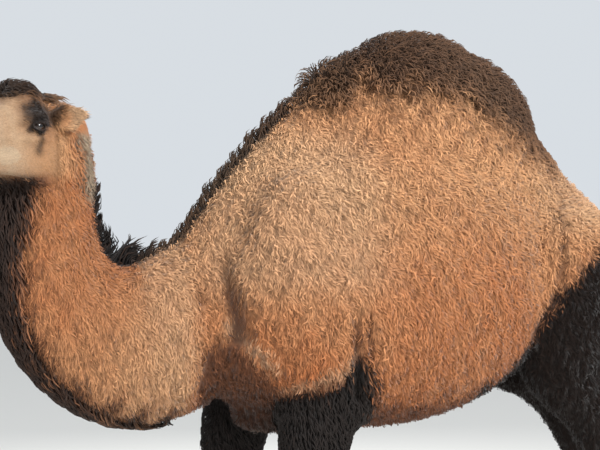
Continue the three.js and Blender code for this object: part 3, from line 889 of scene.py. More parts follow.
def eyeFrame(side):
    # The eye's middle, and rows for its fore-and-aft, upward and outward ways, in the head's frame.
    outward = unit(np.array(skinSizes["gaze"]) * (side, 1, 1))
    along = unit(np.cross((0, 0, 1), outward))
    along = along * np.sign(along[1])
    upward = np.cross(outward, along)
    upward = upward * np.sign(upward[2])
    c, s = math.cos(skinSizes["eyeTilt"]), math.sin(skinSizes["eyeTilt"])
    ways = np.array([c * along - s * upward, c * upward + s * along, outward])
    return np.array(body["eyePlace"]) * (side, 1, 1), ways


def almond(a, b):
    # Below 0 inside the eye's opening.
    half, height = skinSizes["lidOpening"]
    radius = (half * half + height * height) / (2 * height)
    return np.maximum(np.hypot(a, b + radius - height), np.hypot(a, b - radius + height)) - radius


def almondAway(q):
    # How far outside the nearer eye's opening a point is.
    nearest = np.full(len(q), 1e3)
    for side in both:
        centre, ways = eyeFrame(side)
        a, b, c = ((q - centre) @ ways.T).T
        nearest = np.minimum(nearest, np.where((c > 0) & (c < 60), almond(a, b), 1e3))
    return nearest


def openedLids(p):
    q = toHead(p)
    for side in both:
        centre, ways = eyeFrame(side)
        a, b, c = ((q - centre) @ ways.T).T
        near = (lengths(q - centre) < 38) & (c > 0)
        # The lids' edge is full and rolls in, then drops behind the eyeball's front.
        gap = almond(a, b)
        inward = np.where(near, fall(gap, -1.8, 0.9), 0)
        edge = np.where(near, np.exp(-((gap - 3) / 2.6) ** 2) * 1.6, 0)
        q = q + ways[2] * (edge - inward * np.maximum(c - 9, 0))[:, None]
    return fromHead(q)


def addToScene(name, data):
    made = bpy.data.objects.new(name, data)
    bpy.context.scene.collection.objects.link(made)
    return made


def addMesh(name, points, faces, material):
    # points are millimetres in the body's frame; faces all have the same number of corners.
    mesh = bpy.data.meshes.new(name)
    sides = faces.shape[1]
    mesh.vertices.add(len(points))
    mesh.vertices.foreach_set("co", toShared(points).astype(np.float32).ravel())
    mesh.loops.add(faces.size)
    mesh.loops.foreach_set("vertex_index", faces.astype(np.int32).ravel())
    mesh.polygons.add(len(faces))
    mesh.polygons.foreach_set("loop_start", np.arange(0, faces.size, sides, dtype=np.int32))
    mesh.polygons.foreach_set("use_smooth", np.ones(len(faces), bool))
    mesh.update(calc_edges=True)
    mesh.materials.append(material)
    return addToScene(name, mesh)


def addShares(mesh, names, columns):
    for name, column in zip(names, columns.T):
        mesh.attributes.new(name, "FLOAT", "POINT").data.foreach_set("value", column.astype(np.float32))


def addVectors(mesh, name, vectors):
    made = mesh.attributes.new(name, "FLOAT_VECTOR", "POINT")
    made.data.foreach_set("vector", vectors.astype(np.float32).ravel())


# The shared frame's zero, in the body's millimetres, from where the two eyes sit.
def findZero():
    eyes = [sum(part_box(f"eye_{side}"), Vector()) / 2 for side in ("left", "right")]
    return fromHead([0, eyeY, eyeZ]) - np.array((eyes[0] + eyes[1]) / 2) / mm


bodyZero = findZero()
bodyZero[2] = 0


def toShared(p):
    return (np.asarray(p, float) - bodyZero) * mm


print("zero", np.round(bodyZero, 1))


def makeSkin():
    low = np.array(solidLow) / mm + bodyZero - 30
    high = np.array(solidHigh) / mm + bodyZero + 30
    points, faces = netOf(skinShape, low, high, skinSizes["cell"])
    print("skin net", len(points), "points")
    mesh = bpy.data.meshes.new("skin")
    mesh.from_pydata(points.tolist(), [], faces.tolist())
    bm = bmesh.new()
    bm.from_mesh(mesh)
    bmesh.ops.delete(bm, geom=[v for v in bm.verts if not v.link_faces], context="VERTS")
    bm.to_mesh(mesh)
    bm.free()
    # The unwrap is of the skin's own shape, and every lock takes its root's place on it.
    skin = addToScene("skin", mesh)
    bpy.context.view_layer.objects.active = skin
    bpy.ops.object.select_all(action="DESELECT")
    skin.select_set(True)
    mesh.uv_layers.new(name="OFBake")
    bpy.ops.object.mode_set(mode="EDIT")
    bpy.ops.mesh.select_all(action="SELECT")
    bpy.ops.uv.smart_project(angle_limit=math.radians(66), island_margin=0.002)
    bpy.ops.object.mode_set(mode="OBJECT")
    print("skin unwrapped")
    subdivideWhere(mesh, nearLegs, 1)
    subdivideWhere(mesh, nearHead, 2)
    subdivideWhere(mesh, nearFeatures, 1)
    p = settled(skinShape, pointsOf(mesh), skinSizes["settleSteps"])
    _, slope = slopeOf(skinShape, p)
    normal = unit(slope)
    head = nearHead(p)
    p[head] += normal[head] * carved(p[head])[:, None]
    p[head] = openedLids(p[head])
    soles = p[:, 2] < 0.5
    p[soles, 2] = 0
    marks = markings(p, normal)
    addShares(mesh, markNames, marks)
    q, face, crown, ear = headShares(p)
    woolly = (1 - face) * rise(p[:, 2], 640, 760)
    addShares(mesh, ("woolly",), woolly[:, None])
    # Coordinates drawn out along the lie of the short hair, so that its pattern runs that way.
    onHead = np.maximum(np.maximum(face, crown), ear)[:, None] > 0.5
    addVectors(mesh, "combed", np.where(onHead, q * (1, 0.22, 0.8), p * (1, 1, 0.2)))
    mesh.vertices.foreach_set("co", toShared(p).astype(np.float32).ravel())
    mesh.polygons.foreach_set("use_smooth", np.ones(len(mesh.polygons), bool))
    mesh.update()
    print("skin", len(p), "points settled")
    return skin, p, normal


skin, skinPoints, skinNormals = makeSkin()


def linear(colour):
    # An sRGB hex colour as linear light.
    parts = [int(colour[i:i + 2], 16) / 255 for i in (1, 3, 5)]
    return [c / 12.92 if c <= 0.04045 else ((c + 0.055) / 1.055) ** 2.4 for c in parts] + [1.0]


def add(tree, kind, settings=None, **links):
    # Adds a node. Links and values are given by the socket's name, or as socket2 for the third socket.
    made = tree.nodes.new("ShaderNode" + kind)
    for name, value in (settings or {}).items():
        setattr(made, name, value)
    for name, value in links.items():
        key = int(name[6:]) if name.startswith("socket") else name.replace("_", " ")
        if isinstance(value, bpy.types.NodeSocket):
            tree.links.new(value, made.inputs[key])
        else:
            made.inputs[key].default_value = value
    return made


def newMaterial(name):
    material = bpy.data.materials.new(name)
    material.use_nodes = True
    material.node_tree.nodes.clear()
    return material, material.node_tree


def finishMaterial(tree, **look):
    shader = add(tree, "BsdfPrincipled", None, **look)
    add(tree, "OutputMaterial", Surface=shader.outputs[0])


# Camel hair as it grows in winter: a matt underwool with coarser, darker guard hair, bleached by the sun at
# its tips. The eye gets warm fawn with soft dark gaps and hardly any gloss.
hairColours = {
    "fawn": "#B58861", "red": "#9B5E39", "cream": "#BFA586", "grey": "#8B7D69", "brown": "#5A3826",
    # The dark is as deep as the forearms and thighs look in shade, so there it holds painted shade.
    "dark": "#150D09", "bare": "#4E3F37",
}


# Settings that several nodes have.
smooth, multiply = {"interpolation_type": "SMOOTHSTEP"}, {"operation": "MULTIPLY"}
colours, numbers = {"data_type": "RGBA"}, {"data_type": "FLOAT"}


def hairColour(tree, shade):
    # The fawn ground with each marking laid over it in turn, all of it as light or dark as the shade says.
    colour = linear(hairColours["fawn"])
    for name in markNames:
        share = add(tree, "Attribute", {"attribute_name": name})
        mark = add(tree, "Mix", colours, socket0=share.outputs["Fac"], socket6=colour,
                   socket7=linear(hairColours[name]))
        colour = mark.outputs[2]
    level = shade.outputs[0]
    light = add(tree, "CombineColor", None, Red=level, Green=level, Blue=level)
    shaded = add(tree, "Mix", {**colours, "blend_type": "MULTIPLY"}, socket0=1.0, socket6=colour,
                 socket7=light.outputs[0])
    return shaded.outputs[2]


def coatMaterial(name, look):
    material, tree = newMaterial(name)
    along, tone = (add(tree, "Attribute", {"attribute_name": share}) for share in ("along", "tone"))
    # Darker towards each lock's root: partly the tips' sun-bleaching, partly painted shade deep in the coat.
    lighter = add(tree, "MapRange", smooth, Value=along.outputs["Fac"], socket1=0.0, socket2=0.75,
                  socket3=look["rootShade"], socket4=look["tipShade"])
    # Strands 1.2 mm wide run along each lock, drawn as coarse as they need to show.
    strands = add(tree, "UVMap", {"uv_map": "strands"})
    spread = add(tree, "VectorMath", multiply, socket0=strands.outputs[0],
                 socket1=(look["strands"], 1.6, 1.0))
    streak = add(tree, "TexNoise", {"noise_dimensions": "2D"}, Vector=spread.outputs[0], Scale=1.0,
                 Detail=2.0, Roughness=0.6)
    streaks = add(tree, "MapRange", None, Value=streak.outputs["Fac"], socket1=0.25, socket2=0.75,
                  socket3=1 - look["streak"], socket4=1 + look["streak"])
    shade = add(tree, "Math", multiply, socket0=lighter.outputs[0], socket1=tone.outputs["Fac"])
    shade = add(tree, "Math", multiply, socket0=shade.outputs[0], socket1=streaks.outputs[0])
    bump = add(tree, "Bump", None, Strength=0.5, Distance=0.0012, Height=streak.outputs["Fac"])
    finishMaterial(tree, Base_Color=hairColour(tree, shade), Roughness=look["roughness"], IOR=1.45,
                   Normal=bump.outputs[0], Specular_IOR_Level=look["gloss"], Sheen_Weight=look["sheen"],
                   Sheen_Roughness=0.5)
    return material


# Short hair lying on the hide of face and legs: hairs about 12 mm long and 1.5 mm apart, drawn a little
# coarser so that they show as a fine streaked nap. The bare hide of lips and chest pad has pebbles of 3 mm.
def skinMaterial():
    material, tree = newMaterial("shortHairedHide")
    combed = add(tree, "Attribute", {"attribute_name": "combed"}).outputs["Vector"]
    bare = add(tree, "Attribute", {"attribute_name": "bare"})
    woolly = add(tree, "Attribute", {"attribute_name": "woolly"})
    nap = add(tree, "TexNoise", None, Vector=combed, Scale=0.42, Detail=4.0, Roughness=0.6)
    patches = add(tree, "TexNoise", None, Vector=combed, Scale=0.05, Detail=3.0)
    pebbles = add(tree, "TexVoronoi", None, Vector=combed, Scale=0.3)
    napShade = add(tree, "MapRange", None, Value=nap.outputs["Fac"], socket1=0.3, socket2=0.7, socket3=0.5,
                   socket4=0.76)
    patchShade = add(tree, "MapRange", None, Value=patches.outputs["Fac"], socket1=0.3, socket2=0.7,
                     socket3=0.9, socket4=1.08)
    shade = add(tree, "Math", multiply, socket0=napShade.outputs[0], socket1=patchShade.outputs[0])
    # Under the wool the hide has one plain shade.
    shade = add(tree, "Mix", numbers, socket0=woolly.outputs["Fac"], socket2=shade.outputs[0], socket3=0.85)
    height = add(tree, "Mix", numbers, socket0=bare.outputs["Fac"], socket2=nap.outputs["Fac"],
                 socket3=pebbles.outputs["Distance"])
    bump = add(tree, "Bump", None, Strength=0.8, Distance=0.003, Height=height.outputs[0])
    finishMaterial(tree, Base_Color=hairColour(tree, shade), Roughness=0.8, Normal=bump.outputs[0],
                   Specular_IOR_Level=0.25, Sheen_Weight=0.12)
    return material


skin.data.materials.append(skinMaterial())
fleshNodes = [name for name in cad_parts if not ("eye" in name or "nail" in name)]
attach(skin, "root")
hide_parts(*fleshNodes)


class Ground:
    # The skin's triangles with all that a lock needs to know of the place where it is rooted.
    def __init__(self, piece, points, normals):
        mesh = piece.data
        mesh.calc_loop_triangles()
        count = len(mesh.loop_triangles)
        corners, loops = np.empty(count * 3, np.int32), np.empty(count * 3, np.int32)
        mesh.loop_triangles.foreach_get("vertices", corners)
        mesh.loop_triangles.foreach_get("loops", loops)
        uv = np.empty(len(mesh.loops) * 2)
        mesh.uv_layers["OFBake"].data.foreach_get("uv", uv)
        self.corners, self.points, self.normals = corners.reshape(-1, 3), points, normals
        self.uv = uv.reshape(-1, 2)[loops.reshape(-1, 3)]
        a, b, c = points[self.corners].transpose(1, 0, 2)
        self.area = lengths(np.cross(b - a, c - a)) / 2

    def sow(self, share, spacing, seed):
        # Roots about spacing apart, thinner where share is lower.
        draw = np.random.default_rng(seed)
        weight = self.area * share[self.corners].mean(axis=1)
        count = int(2.4 * weight.sum() / spacing ** 2)
        if not count:
            return None
        picked = draw.choice(len(weight), count, p=weight / weight.sum())
        mix = draw.dirichlet((1, 1, 1), count)
        place = (self.points[self.corners[picked]] * mix[..., None]).sum(axis=1)
        _, first = np.unique(np.floor(place / spacing).astype(int), axis=0, return_index=True)
        first = np.sort(first)
        picked, mix, place = picked[first], mix[first], place[first]
        normal = unit((self.normals[self.corners[picked]] * mix[..., None]).sum(axis=1))
        uv = (self.uv[picked] * mix[..., None]).sum(axis=1)
        return {"place": place, "normal": normal, "uv": uv}


ground = Ground(skin, skinPoints, skinNormals)


def coatShares():
    # For each point of the skin, how much of each kind of hair grows there.
    p = skinPoints + skinNormals * coatDepth(skinPoints)[:, None]
    q, face, crown, ear = headShares(p)
    bare = markings(p, skinNormals)[:, markNames.index("bare")]
    under, up = underNeck(p)
    x, y, z = p.T
    rough, fine = ripple(p, 95, 2), ripple(p, 34, 3)
    isNeck, upward = neckShare(p, q), skinNormals[:, 2]
    _, _, _, tailAway = nearestOn(tailStations, skinPoints)
    armAway, fringe = armShares(p)
    openings = np.clip(1 - 2.4 * openingShares(q, 9), 0, 1)
    capZ = edgeAt(capEdge, y) - 26 * rough - 22 * fine
    cap = rise(z - capZ, -20, 25) * rise(y, -60, 20) * fall(y, 900, 1040)
    crest = fall(np.abs(x) + 5 * fine, 24, 40) * rise(upward, 0.1, 0.3)
    crest *= between(y, -420, 1020, 20) * (1 - cap)
    mane = isNeck * rise(-under, 0.8, 0.92) * fall(np.abs(x - maneMiddle(up)), 22, 40)
    throat = isNeck * rise(under - edgeAt(throatEdge, up), -0.05, 0.1) * (1 - crown) * fall(q[:, 2], -60, -30)
    shank = fall(z, 560, 680) * rise(z, 9, 10)
    shares = {
        "face": face * (1 - bare) * openings * rise(almondAway(q), 3, 5),
        "crown": crown,
        "ear": ear,
        "tail": fall(tailAway, 34, 46) * rise(y, 1150, 1170) * fall(z, 1470, 1530),
        "cap": cap,
        "crest": crest,
        "mane": mane * between(up, 0.24, 0.86, 0.03),
        "throat": throat * rise(up, 0.2, 0.3),
        "shank": shank,
        "forearm": fall(armAway, 1.15, 1.4) * fall(z - fringe, -20, 0) * (1 - shank) * (z > 400),
    }
    rest = (1 - np.maximum.reduce([*shares.values()])) * (1 - rise(face, 0.5, 0.7))
    shares["fleece"] = np.clip(rest, 0, 1) * (1 - bare) * (z > 400)
    shares["curl"] = shares["fleece"] * (1 - foldShares(p))
    # Fleece and face hair overlap a little where they meet, so that no edge shows.
    least = {"fleece": 0.36, "face": 0.36, "crown": 0.22}
    return {name: (share > least.get(name, 0.5)).astype(float) for name, share in shares.items()}


shares = coatShares()

# Every lock's habits, which a kind of hair may change. Lengths are in mm.
plainLock = dict(
    depth=coat["fleece"],  # the coat's depth at which a lock has its full size
    most=1,                # the most that a deeper coat adds to it
    rings=2,               # how finely it is made
    sway=0, stray=0.22,    # how far it strays from the lie, with its neighbours and by itself
    wave=0, droop=0,       # its side-to-side wave, and how far its tip drops
    uneven=0, relief=0,    # how its size and height follow the lumps of wool
    soft=0.25, tilt=0,     # how far it is shaded as part of the ground, and how the lumps tilt that
    hollow=0, mingle=9,    # how much darker hollows are painted as shade, and how far colours mingle
    trim=0,                # how much shorter it is beside the openings of the face
)
# Each kind's spacing, its locks' length, how high they stand, width and thickness, how much they clump, and
# how their tone varies. way replaces the lie, dye darkens, and sizes scales a lock by where it grows.
kinds = {
    "fleece": dict(
        spacing=5.8, length=20, height=12.5, width=7, thick=3, clump=0.3, clumpSize=18, tone=0.05, rings=1,
        stray=0.26, sway=0.5, soft=0.8, relief=0.4, tilt=8, hollow=0.36,
    ),
    "curl": dict(
        spacing=12.7, length=20, height=13.5, width=5.2, thick=3, clump=0.4, clumpSize=24, tone=0.06,
        stray=0.4, sway=0.5, wave=5, droop=7, soft=0.7, relief=0.4, tilt=7, hollow=0.3,
        sizes=(lambda p: p[:, 1], ((-720, 0.7), (-320, 1.0))),
    ),
    "cap": dict(
        spacing=7.8, length=34, height=42, width=4.8, thick=3.6, clump=0.6, clumpSize=28, tone=0.14, rings=3,
        depth=36, stray=0.5, wave=2.4, droop=2, soft=0.45, relief=0.14, tilt=5, hollow=0.2, uneven=0.2,
    ),
    "crest": dict(
        spacing=7, length=28, height=28, width=4.6, thick=3.8, clump=0.8, clumpSize=24, tone=0.15, rings=3,
        way=(0.0, 0.55, 0.8), stray=0.3, wave=2, droop=2, soft=0.4, dye=0.85, uneven=0.4,
        sizes=(lambda p: p[:, 1],
               ((-420, 0.6), (-250, 0.7), (-50, 1.05), (120, 1.2), (820, 0.8), (980, 0.3))),
    ),
    "mane": dict(
        spacing=6, length=50, height=44, width=5, thick=4, clump=1.0, clumpSize=30, tone=0.2, rings=4,
        way=(0.0, 0.7, 0.72), wave=2, soft=0.2, dye=0.96, uneven=0.45,
        sizes=(lambda p: underNeck(p)[1],
               ((0.24, 0.5), (0.34, 0.55), (0.45, 0.95), (0.62, 1.0), (0.76, 0.5), (0.9, 0.3))),
    ),
    "throat": dict(
        spacing=9.5, length=60, height=24, width=6.5, thick=4.5, clump=0.5, clumpSize=34, tone=0.18, rings=4,
        stray=0.2, wave=4, droop=8, soft=0.35,
    ),
    "forearm": dict(
        spacing=9, length=44, height=20, width=7, thick=4, clump=0.45, clumpSize=28, tone=0.16,
        wave=3, droop=5, soft=0.4,
    ),
    "tail": dict(
        spacing=7, length=80, height=12, width=6, thick=4, clump=0.35, clumpSize=24, tone=0.18, rings=4,
        depth=20, stray=0.14, wave=4, droop=2,
    ),
    "crown": dict(
        spacing=4.8, length=36, height=21, width=3.6, thick=3, clump=0.6, clumpSize=22, tone=0.18, rings=3,
        depth=18, stray=0.45, wave=2.5, droop=5, soft=0.4, dye=0.76, uneven=0.4,
    ),
    "ear": dict(
        spacing=3.8, length=23, height=5, width=2.0, thick=1.3, clump=0.35, clumpSize=14, tone=0.1,
        depth=4, stray=0.24, wave=1.5, droop=1, mingle=3, soft=0.6,
    ),
    "face": dict(
        spacing=4.8, length=13, height=1.9, width=2.3, thick=1.1, clump=0.3, clumpSize=12, tone=0.07,
        depth=4, stray=0.28, wave=0.6, droop=0.6, mingle=4, soft=0.65, most=2.4, trim=0.7,
        sizes=(lambda p: toHead(p)[:, 1], ((-480, 0.5), (-380, 0.65), (-220, 1.0), (-100, 1.2))),
    ),
    "shank": dict(
        spacing=7.6, length=19, height=4, width=3.4, thick=1.8, clump=0.4, clumpSize=16, tone=0.1,
        depth=4, wave=1, droop=1, mingle=6, soft=0.6, relief=0.2,
    ),
}
tuftPatch = 0.003  # a lock's size on the unwrap
course = {
    "peak": 0.62,       # the share of its length at which a lock stands highest
    "droopsFrom": 0.55,  # and from which its tip drops
    "sunk": 1.5,        # how deep its root sits in the skin, in mm
    "leans": 1.45, "gathers": 1.5, "waves": 0.7,  # how late its run, its clumping and its wave set in
    "widths": ((0, 0.7), (0.3, 1.0), (0.6, 0.95), (0.85, 0.6), (1, 0.3)),
}


def clumpPull(place, size, seed):
    # From each root to the middle of its clump.
    draw = np.random.default_rng(seed)
    cells = np.floor(place / size + draw.uniform(0, 1, 3)).astype(int)
    _, first = np.unique(cells, axis=0, return_index=True)
    tree = KDTree(len(first))
    for i, at in enumerate(place[first]):
        tree.insert(at, i)
    tree.balance()
    nearest = np.array([tree.find(at)[1] for at in place])
    return place[first][nearest] - place


def lockFaces(rings):
    # A three-sided lock's triangles, with each corner's place round and along the lock.
    faces, places = [(0, 1, 2)], [((0, 0), (0.33, 0), (0.67, 0))]
    for i in range(rings):
        for k in range(3):
            a, b = i * 3 + k, i * 3 + (k + 1) % 3
            left, right, low, high = k / 3, (k + 1) / 3, i / rings, (i + 1) / rings
            if i + 1 < rings:
                faces += [(a, a + 3, b), (b, a + 3, b + 3)]
                places += [
                    ((left, low), (left, high), (right, low)), ((right, low), (left, high), (right, high)),
                ]
            else:
                faces.append((a, rings * 3, b))
                places.append(((left, low), ((left + right) / 2, 1), (right, low)))
    return np.array(faces), np.array(places)


def growLocks(name, roots, habits, seed, material, slot):
    draw = np.random.default_rng(seed)
    kind = {**plainLock, **habits}
    place, normal = roots["place"], roots["normal"]
    count, rings = len(place), kind["rings"]
    lie = lieOf(place, normal)
    if "way" in kind:
        lie = unit(kind["way"] - normal * (normal @ np.array(kind["way"]))[:, None])
    turn = draw.normal(0, kind["stray"], count)[:, None] + kind["sway"] * ripple(place, 70, 23)[:, None]
    way = lie * np.cos(turn) + np.cross(normal, lie) * np.sin(turn)
    side = np.cross(normal, way)
    # Locks are smaller where the coat is shallower, and lie flat in the folds.
    full = np.clip(coatDepth(place) / kind["depth"], 0.25, kind["most"])[:, None]
    flat = 1 - 0.8 * foldShares(place)[:, None]
    scale = draw.uniform(0.72, 1.25, (count, 1)) * (1 + kind["uneven"] * ripple(place, 46, 22)[:, None])
    if "sizes" in kind:
        measure, steps = kind["sizes"]
        scale *= edgeAt(steps, measure(place))[:, None]
    length = kind["length"] * scale * (0.4 + 0.6 * full)
    width = kind["width"] * draw.uniform(0.8, 1.2, (count, 1)) * scale ** 0.5 * (0.5 + 0.5 * full)
    relief, tilt = reliefSlope(place, normal)
    height = kind["height"] * draw.uniform(0.84, 1.08, (count, 1)) * full * flat
    height = height * (1 + kind["relief"] * relief[:, None])
    if "sizes" in kind:
        height = height * scale
    if kind["trim"]:
        trim = 1 - kind["trim"] * openingShares(toHead(place), 42)[:, None]
        length, height = length * trim, height * trim
    wave = kind["wave"] * draw.normal(0, 1, (count, 1))
    phase, turns = draw.uniform(0, 2 * math.pi, (count, 1)), draw.uniform(0.7, 1.5, (count, 1))
    pull = clumpPull(place, kind["clumpSize"], seed + 1)
    pull -= normal * (pull * normal).sum(axis=1)[:, None]

    # The lock's middle rises off the skin, runs along it and droops to its tip.
    t = np.linspace(0, 1, rings + 1)
    centre = np.empty((count, rings + 1, 3))
    for i, at in enumerate(t):
        up = np.sin(math.pi / 2 * min(1.0, at / course["peak"]))
        drop = kind["droop"] * max(0.0, (at - course["droopsFrom"]) / (1 - course["droopsFrom"])) ** 2 * scale
        waved = np.sin(2 * math.pi * turns * at + phase) * at ** course["waves"]
        centre[:, i] = (
            place + normal * (height * up - course["sunk"] - drop) + way * length * at ** course["leans"]
            + side * wave * waved + pull * kind["clump"] * at ** course["gathers"]
        )
    run = unit(np.gradient(centre, axis=1))
    across = unit(np.cross(run, normal[:, None, :]) + 1e-6)
    above = np.cross(across, run)
    profile = edgeAt(course["widths"], t[:-1])
    each = rings * 3 + 1
    corners = np.empty((count, each, 3))
    facing = np.empty_like(corners)
    for i in range(rings):
        for k, angle in enumerate(np.radians((90, 210, 330))):
            reach = across[:, i] * (math.cos(angle) * width / 2)
            reach = reach + above[:, i] * (math.sin(angle) * kind["thick"] / 2)
            corners[:, i * 3 + k] = centre[:, i] + reach * profile[i]
            facing[:, i * 3 + k] = unit(reach)
    corners[:, -1] = centre[:, -1]
    facing[:, -1] = above[:, -1]
    # Light scatters through wool, so a lock is shaded partly by its own form, partly as the ground it covers.
    ruffled = unit(normal - tilt * kind["tilt"] + draw.normal(0, 0.1, (count, 3)))[:, None, :]
    facing = unit(facing * (1 - kind["soft"]) + ruffled * kind["soft"])

    faces, places = lockFaces(rings)
    allFaces = (faces[None] + np.arange(count)[:, None, None] * each).reshape(-1, 3)
    piece = addMesh(name, corners.reshape(-1, 3), allFaces, material)
    mesh = piece.data
    patch = roots["uv"][:, None, None, :] + (places[None] - 0.5) * tuftPatch
    strands = np.broadcast_to(places[None], (count, *places.shape)) + draw.uniform(0, 40, (count, 1, 1, 1))
    for layer, uv in (("OFBake", patch), ("strands", strands)):
        mesh.uv_layers.new(name=layer).data.foreach_set("uv", uv.astype(np.float32).ravel())
    # Neighbouring colours mingle, because each lock takes its colour from a place a little way off.
    outer = place + normal * (height * 0.8) + way * length * 0.5 + draw.normal(0, kind["mingle"], (count, 3))
    marks = markings(outer, normal)
    if "dye" in kind:
        dark = markNames.index("dark")
        marks[:, dark] = np.maximum(marks[:, dark], kind["dye"])
        marks[:, markNames.index("bare")] = 0
    along = np.append(np.repeat(t[:-1], 3), 1.0)
    # Painted shade: locks in the hollows between lumps of wool are made darker.
    tone = 1 + draw.normal(0, kind["tone"], count) + 0.04 * ripple(place, 60, 11)
    tone -= kind["hollow"] * fall(relief, -0.75, 0.1)
    addShares(mesh, ("along", "tone"), np.stack([np.tile(along, count), np.repeat(tone, each)], axis=1))
    addShares(mesh, markNames, np.repeat(marks, each, axis=0))
    addVectors(mesh, "custom_normal", facing)
    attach(piece, "root")
    print(name, count, "locks", len(allFaces), "triangles")
    return len(allFaces)


# Wool is matt and soft, guard hair smoother and darker at its roots, partly as painted shade, and the short
# nap plainer.
woolLook = dict(rootShade=0.97, tipShade=1.21, strands=6.0, streak=0.12, roughness=0.9, gloss=0.12,
                sheen=0.12)
guardLook = dict(woolLook, rootShade=0.55, tipShade=0.97, streak=0.2, roughness=0.65, gloss=0.25, sheen=0.04)
napLook = dict(woolLook, rootShade=0.52, tipShade=0.7, strands=3.0, sheen=0.06)
wool = coatMaterial("winterWool", woolLook)
hair = coatMaterial("guardHair", guardLook)
nap = coatMaterial("shortHair", napLook)
dress = {
    "fleece": (wool, "fleece"), "curl": (wool, "fleece"), "crown": (wool, "dark_hair"),
    "ear": (wool, "short_hair"), "face": (nap, "short_hair"), "shank": (nap, "short_hair"),
}


def partsOf(kindName, roots):
    # A wide coat is parted into pieces by where it grows.
    x, y, z = roots["place"].T
    if kindName == "fleece":
        side = {"_left": x > 5, "_right": x <= 5}
        stretch = {"_neck": y < -330, "_shoulder": (y >= -330) & (y < 130), "_flank": (y >= 130) & (y < 620),
                   "_rump": (y >= 620) & (z >= 1250), "_thigh": (y >= 620) & (z < 1250)}
        return {a + b: s & w for a, s in stretch.items() for b, w in side.items()}
    if kindName == "shank":
        return {"_fore": y < 500, "_hind": y >= 500}
    if kindName == "curl":
        return {"_ahead": y < 200, "_behind": y >= 200}
    return {"": np.ones(len(x), bool)}


def growCoat():
    total, seed = 0, 100
    for kindName, kind in kinds.items():
        seed += 10
        roots = ground.sow(shares[kindName], kind["spacing"] * (1), seed)
        material, slot = dress.get(kindName, (hair, "dark_hair"))
        for part, inPart in partsOf(kindName, roots).items():
            seed += 1
            own = {key: value[inPart] for key, value in roots.items()}
            total += growLocks(f"{kindName}{part}", own, kind, seed, material, slot)
    print("coat", total, "triangles")


growCoat()


def addFrom(bm, name, material, node):
    mesh = bpy.data.meshes.new(name)
    bm.to_mesh(mesh)
    bm.free()
    mesh.polygons.foreach_set("use_smooth", np.ones(len(mesh.polygons), bool))
    mesh.materials.append(material)
    piece = addToScene(name, mesh)
    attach(piece, "root")
    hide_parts(node)
    return piece


eye = {
    "iris": ("#160B05", "#321D0E"), "white": "#3A2A22", "pupil": "#07060A", "lid": ("#17110F", "#3B2D27"),
    "irisEdge": (13.5, 15.5), "pupilEdge": (4.2, 5.2),  # mm from the middle of the front
    "bulge": 2.4, "cornea": (7, 16), "setBack": 1.6,  # how far the cornea stands out, and the ball sits back
    "lidGap": 2.6, "rim": 2.0,  # from the ball to the lids' edge, and that edge's thickness
    "lashes": (24, 11), "lashWidth": 0.75,  # upper and lower
}


# A wet eyeball: a very dark brown iris with fibres about a millimetre apart, round a long level pupil, under
# a clear bulging cornea that gives one sharp glint.
def eyeMaterial():
    material, tree = newMaterial("wetEye")
    gaze = add(tree, "Attribute", {"attribute_name": "gaze"})
    split = add(tree, "SeparateXYZ", None, Vector=gaze.outputs["Vector"])
    flat = add(tree, "CombineXYZ", None, X=split.outputs[0], Y=split.outputs[1])
    fromMiddle = add(tree, "VectorMath", {"operation": "LENGTH"}, socket0=flat.outputs[0])
    squeezed = add(tree, "VectorMath", multiply, socket0=flat.outputs[0], socket1=(0.55, 1.25, 1))
    pupilAway = add(tree, "VectorMath", {"operation": "LENGTH"}, socket0=squeezed.outputs[0])
    fibres = add(tree, "TexNoise", None, Vector=gaze.outputs["Vector"], Scale=0.9, Detail=3.0)
    low, high = eye["irisEdge"]
    white = add(tree, "MapRange", smooth, Value=fromMiddle.outputs["Value"], socket1=low, socket2=high,
                socket3=0.0, socket4=1.0)
    low, high = eye["pupilEdge"]
    pupil = add(tree, "MapRange", smooth, Value=pupilAway.outputs["Value"], socket1=low, socket2=high,
                socket3=1.0, socket4=0.0)
    dark, light = eye["iris"]
    whole = add(tree, "Mix", colours, socket0=fibres.outputs["Fac"], socket6=linear(dark),
                socket7=linear(light))
    for share, colour in ((white, eye["white"]), (pupil, eye["pupil"])):
        whole = add(tree, "Mix", colours, socket0=share.outputs[0], socket6=whole.outputs[2],
                    socket7=linear(colour))
    finishMaterial(tree, Base_Color=whole.outputs[2], Roughness=0.08, IOR=1.38, Coat_Weight=1.0,
                   Coat_Roughness=0.02)
    return material


# The lids' edges and the lashes are bare, dark and damp, with a grain of about a millimetre.
def lidMaterial():
    material, tree = newMaterial("dampLidEdge")
    place = add(tree, "TexCoord")
    grain = add(tree, "TexNoise", None, Vector=place.outputs["Object"], Scale=900.0, Detail=3.0)
    dark, light = eye["lid"]
    colour = add(tree, "Mix", colours, socket0=grain.outputs["Fac"], socket6=linear(dark),
                 socket7=linear(light))
    bump = add(tree, "Bump", None, Strength=0.4, Distance=0.0005, Height=grain.outputs["Fac"])
    finishMaterial(tree, Base_Color=colour.outputs[2], Roughness=0.35, Normal=bump.outputs[0])
    return material


def makeEyeball(name, material, node, ways, centre):
    bm = bmesh.new()
    bmesh.ops.create_uvsphere(bm, u_segments=40, v_segments=28, radius=body["eyeRadius"])
    local = np.array([v.co for v in bm.verts])
    bulge = eye["bulge"] * fall(lengths(local[:, :2]), *eye["cornea"]) * (local[:, 2] > 0)
    local[:, 2] += bulge - eye["setBack"]
    for v, co in zip(bm.verts, toShared(fromHead(local @ ways + centre))):
        v.co = co
    bmesh.ops.recalc_face_normals(bm, faces=bm.faces)
    addVectors(addFrom(bm, name, material, node).data, "gaze", local)


def ontoLids(a, b, out=0.0):
    # Where a point of the eye's opening lies on the ball that the lids follow.
    r = body["eyeRadius"] + eye["lidGap"]
    return np.stack([a, b, np.sqrt(r * r - a * a - b * b) + out], axis=1)


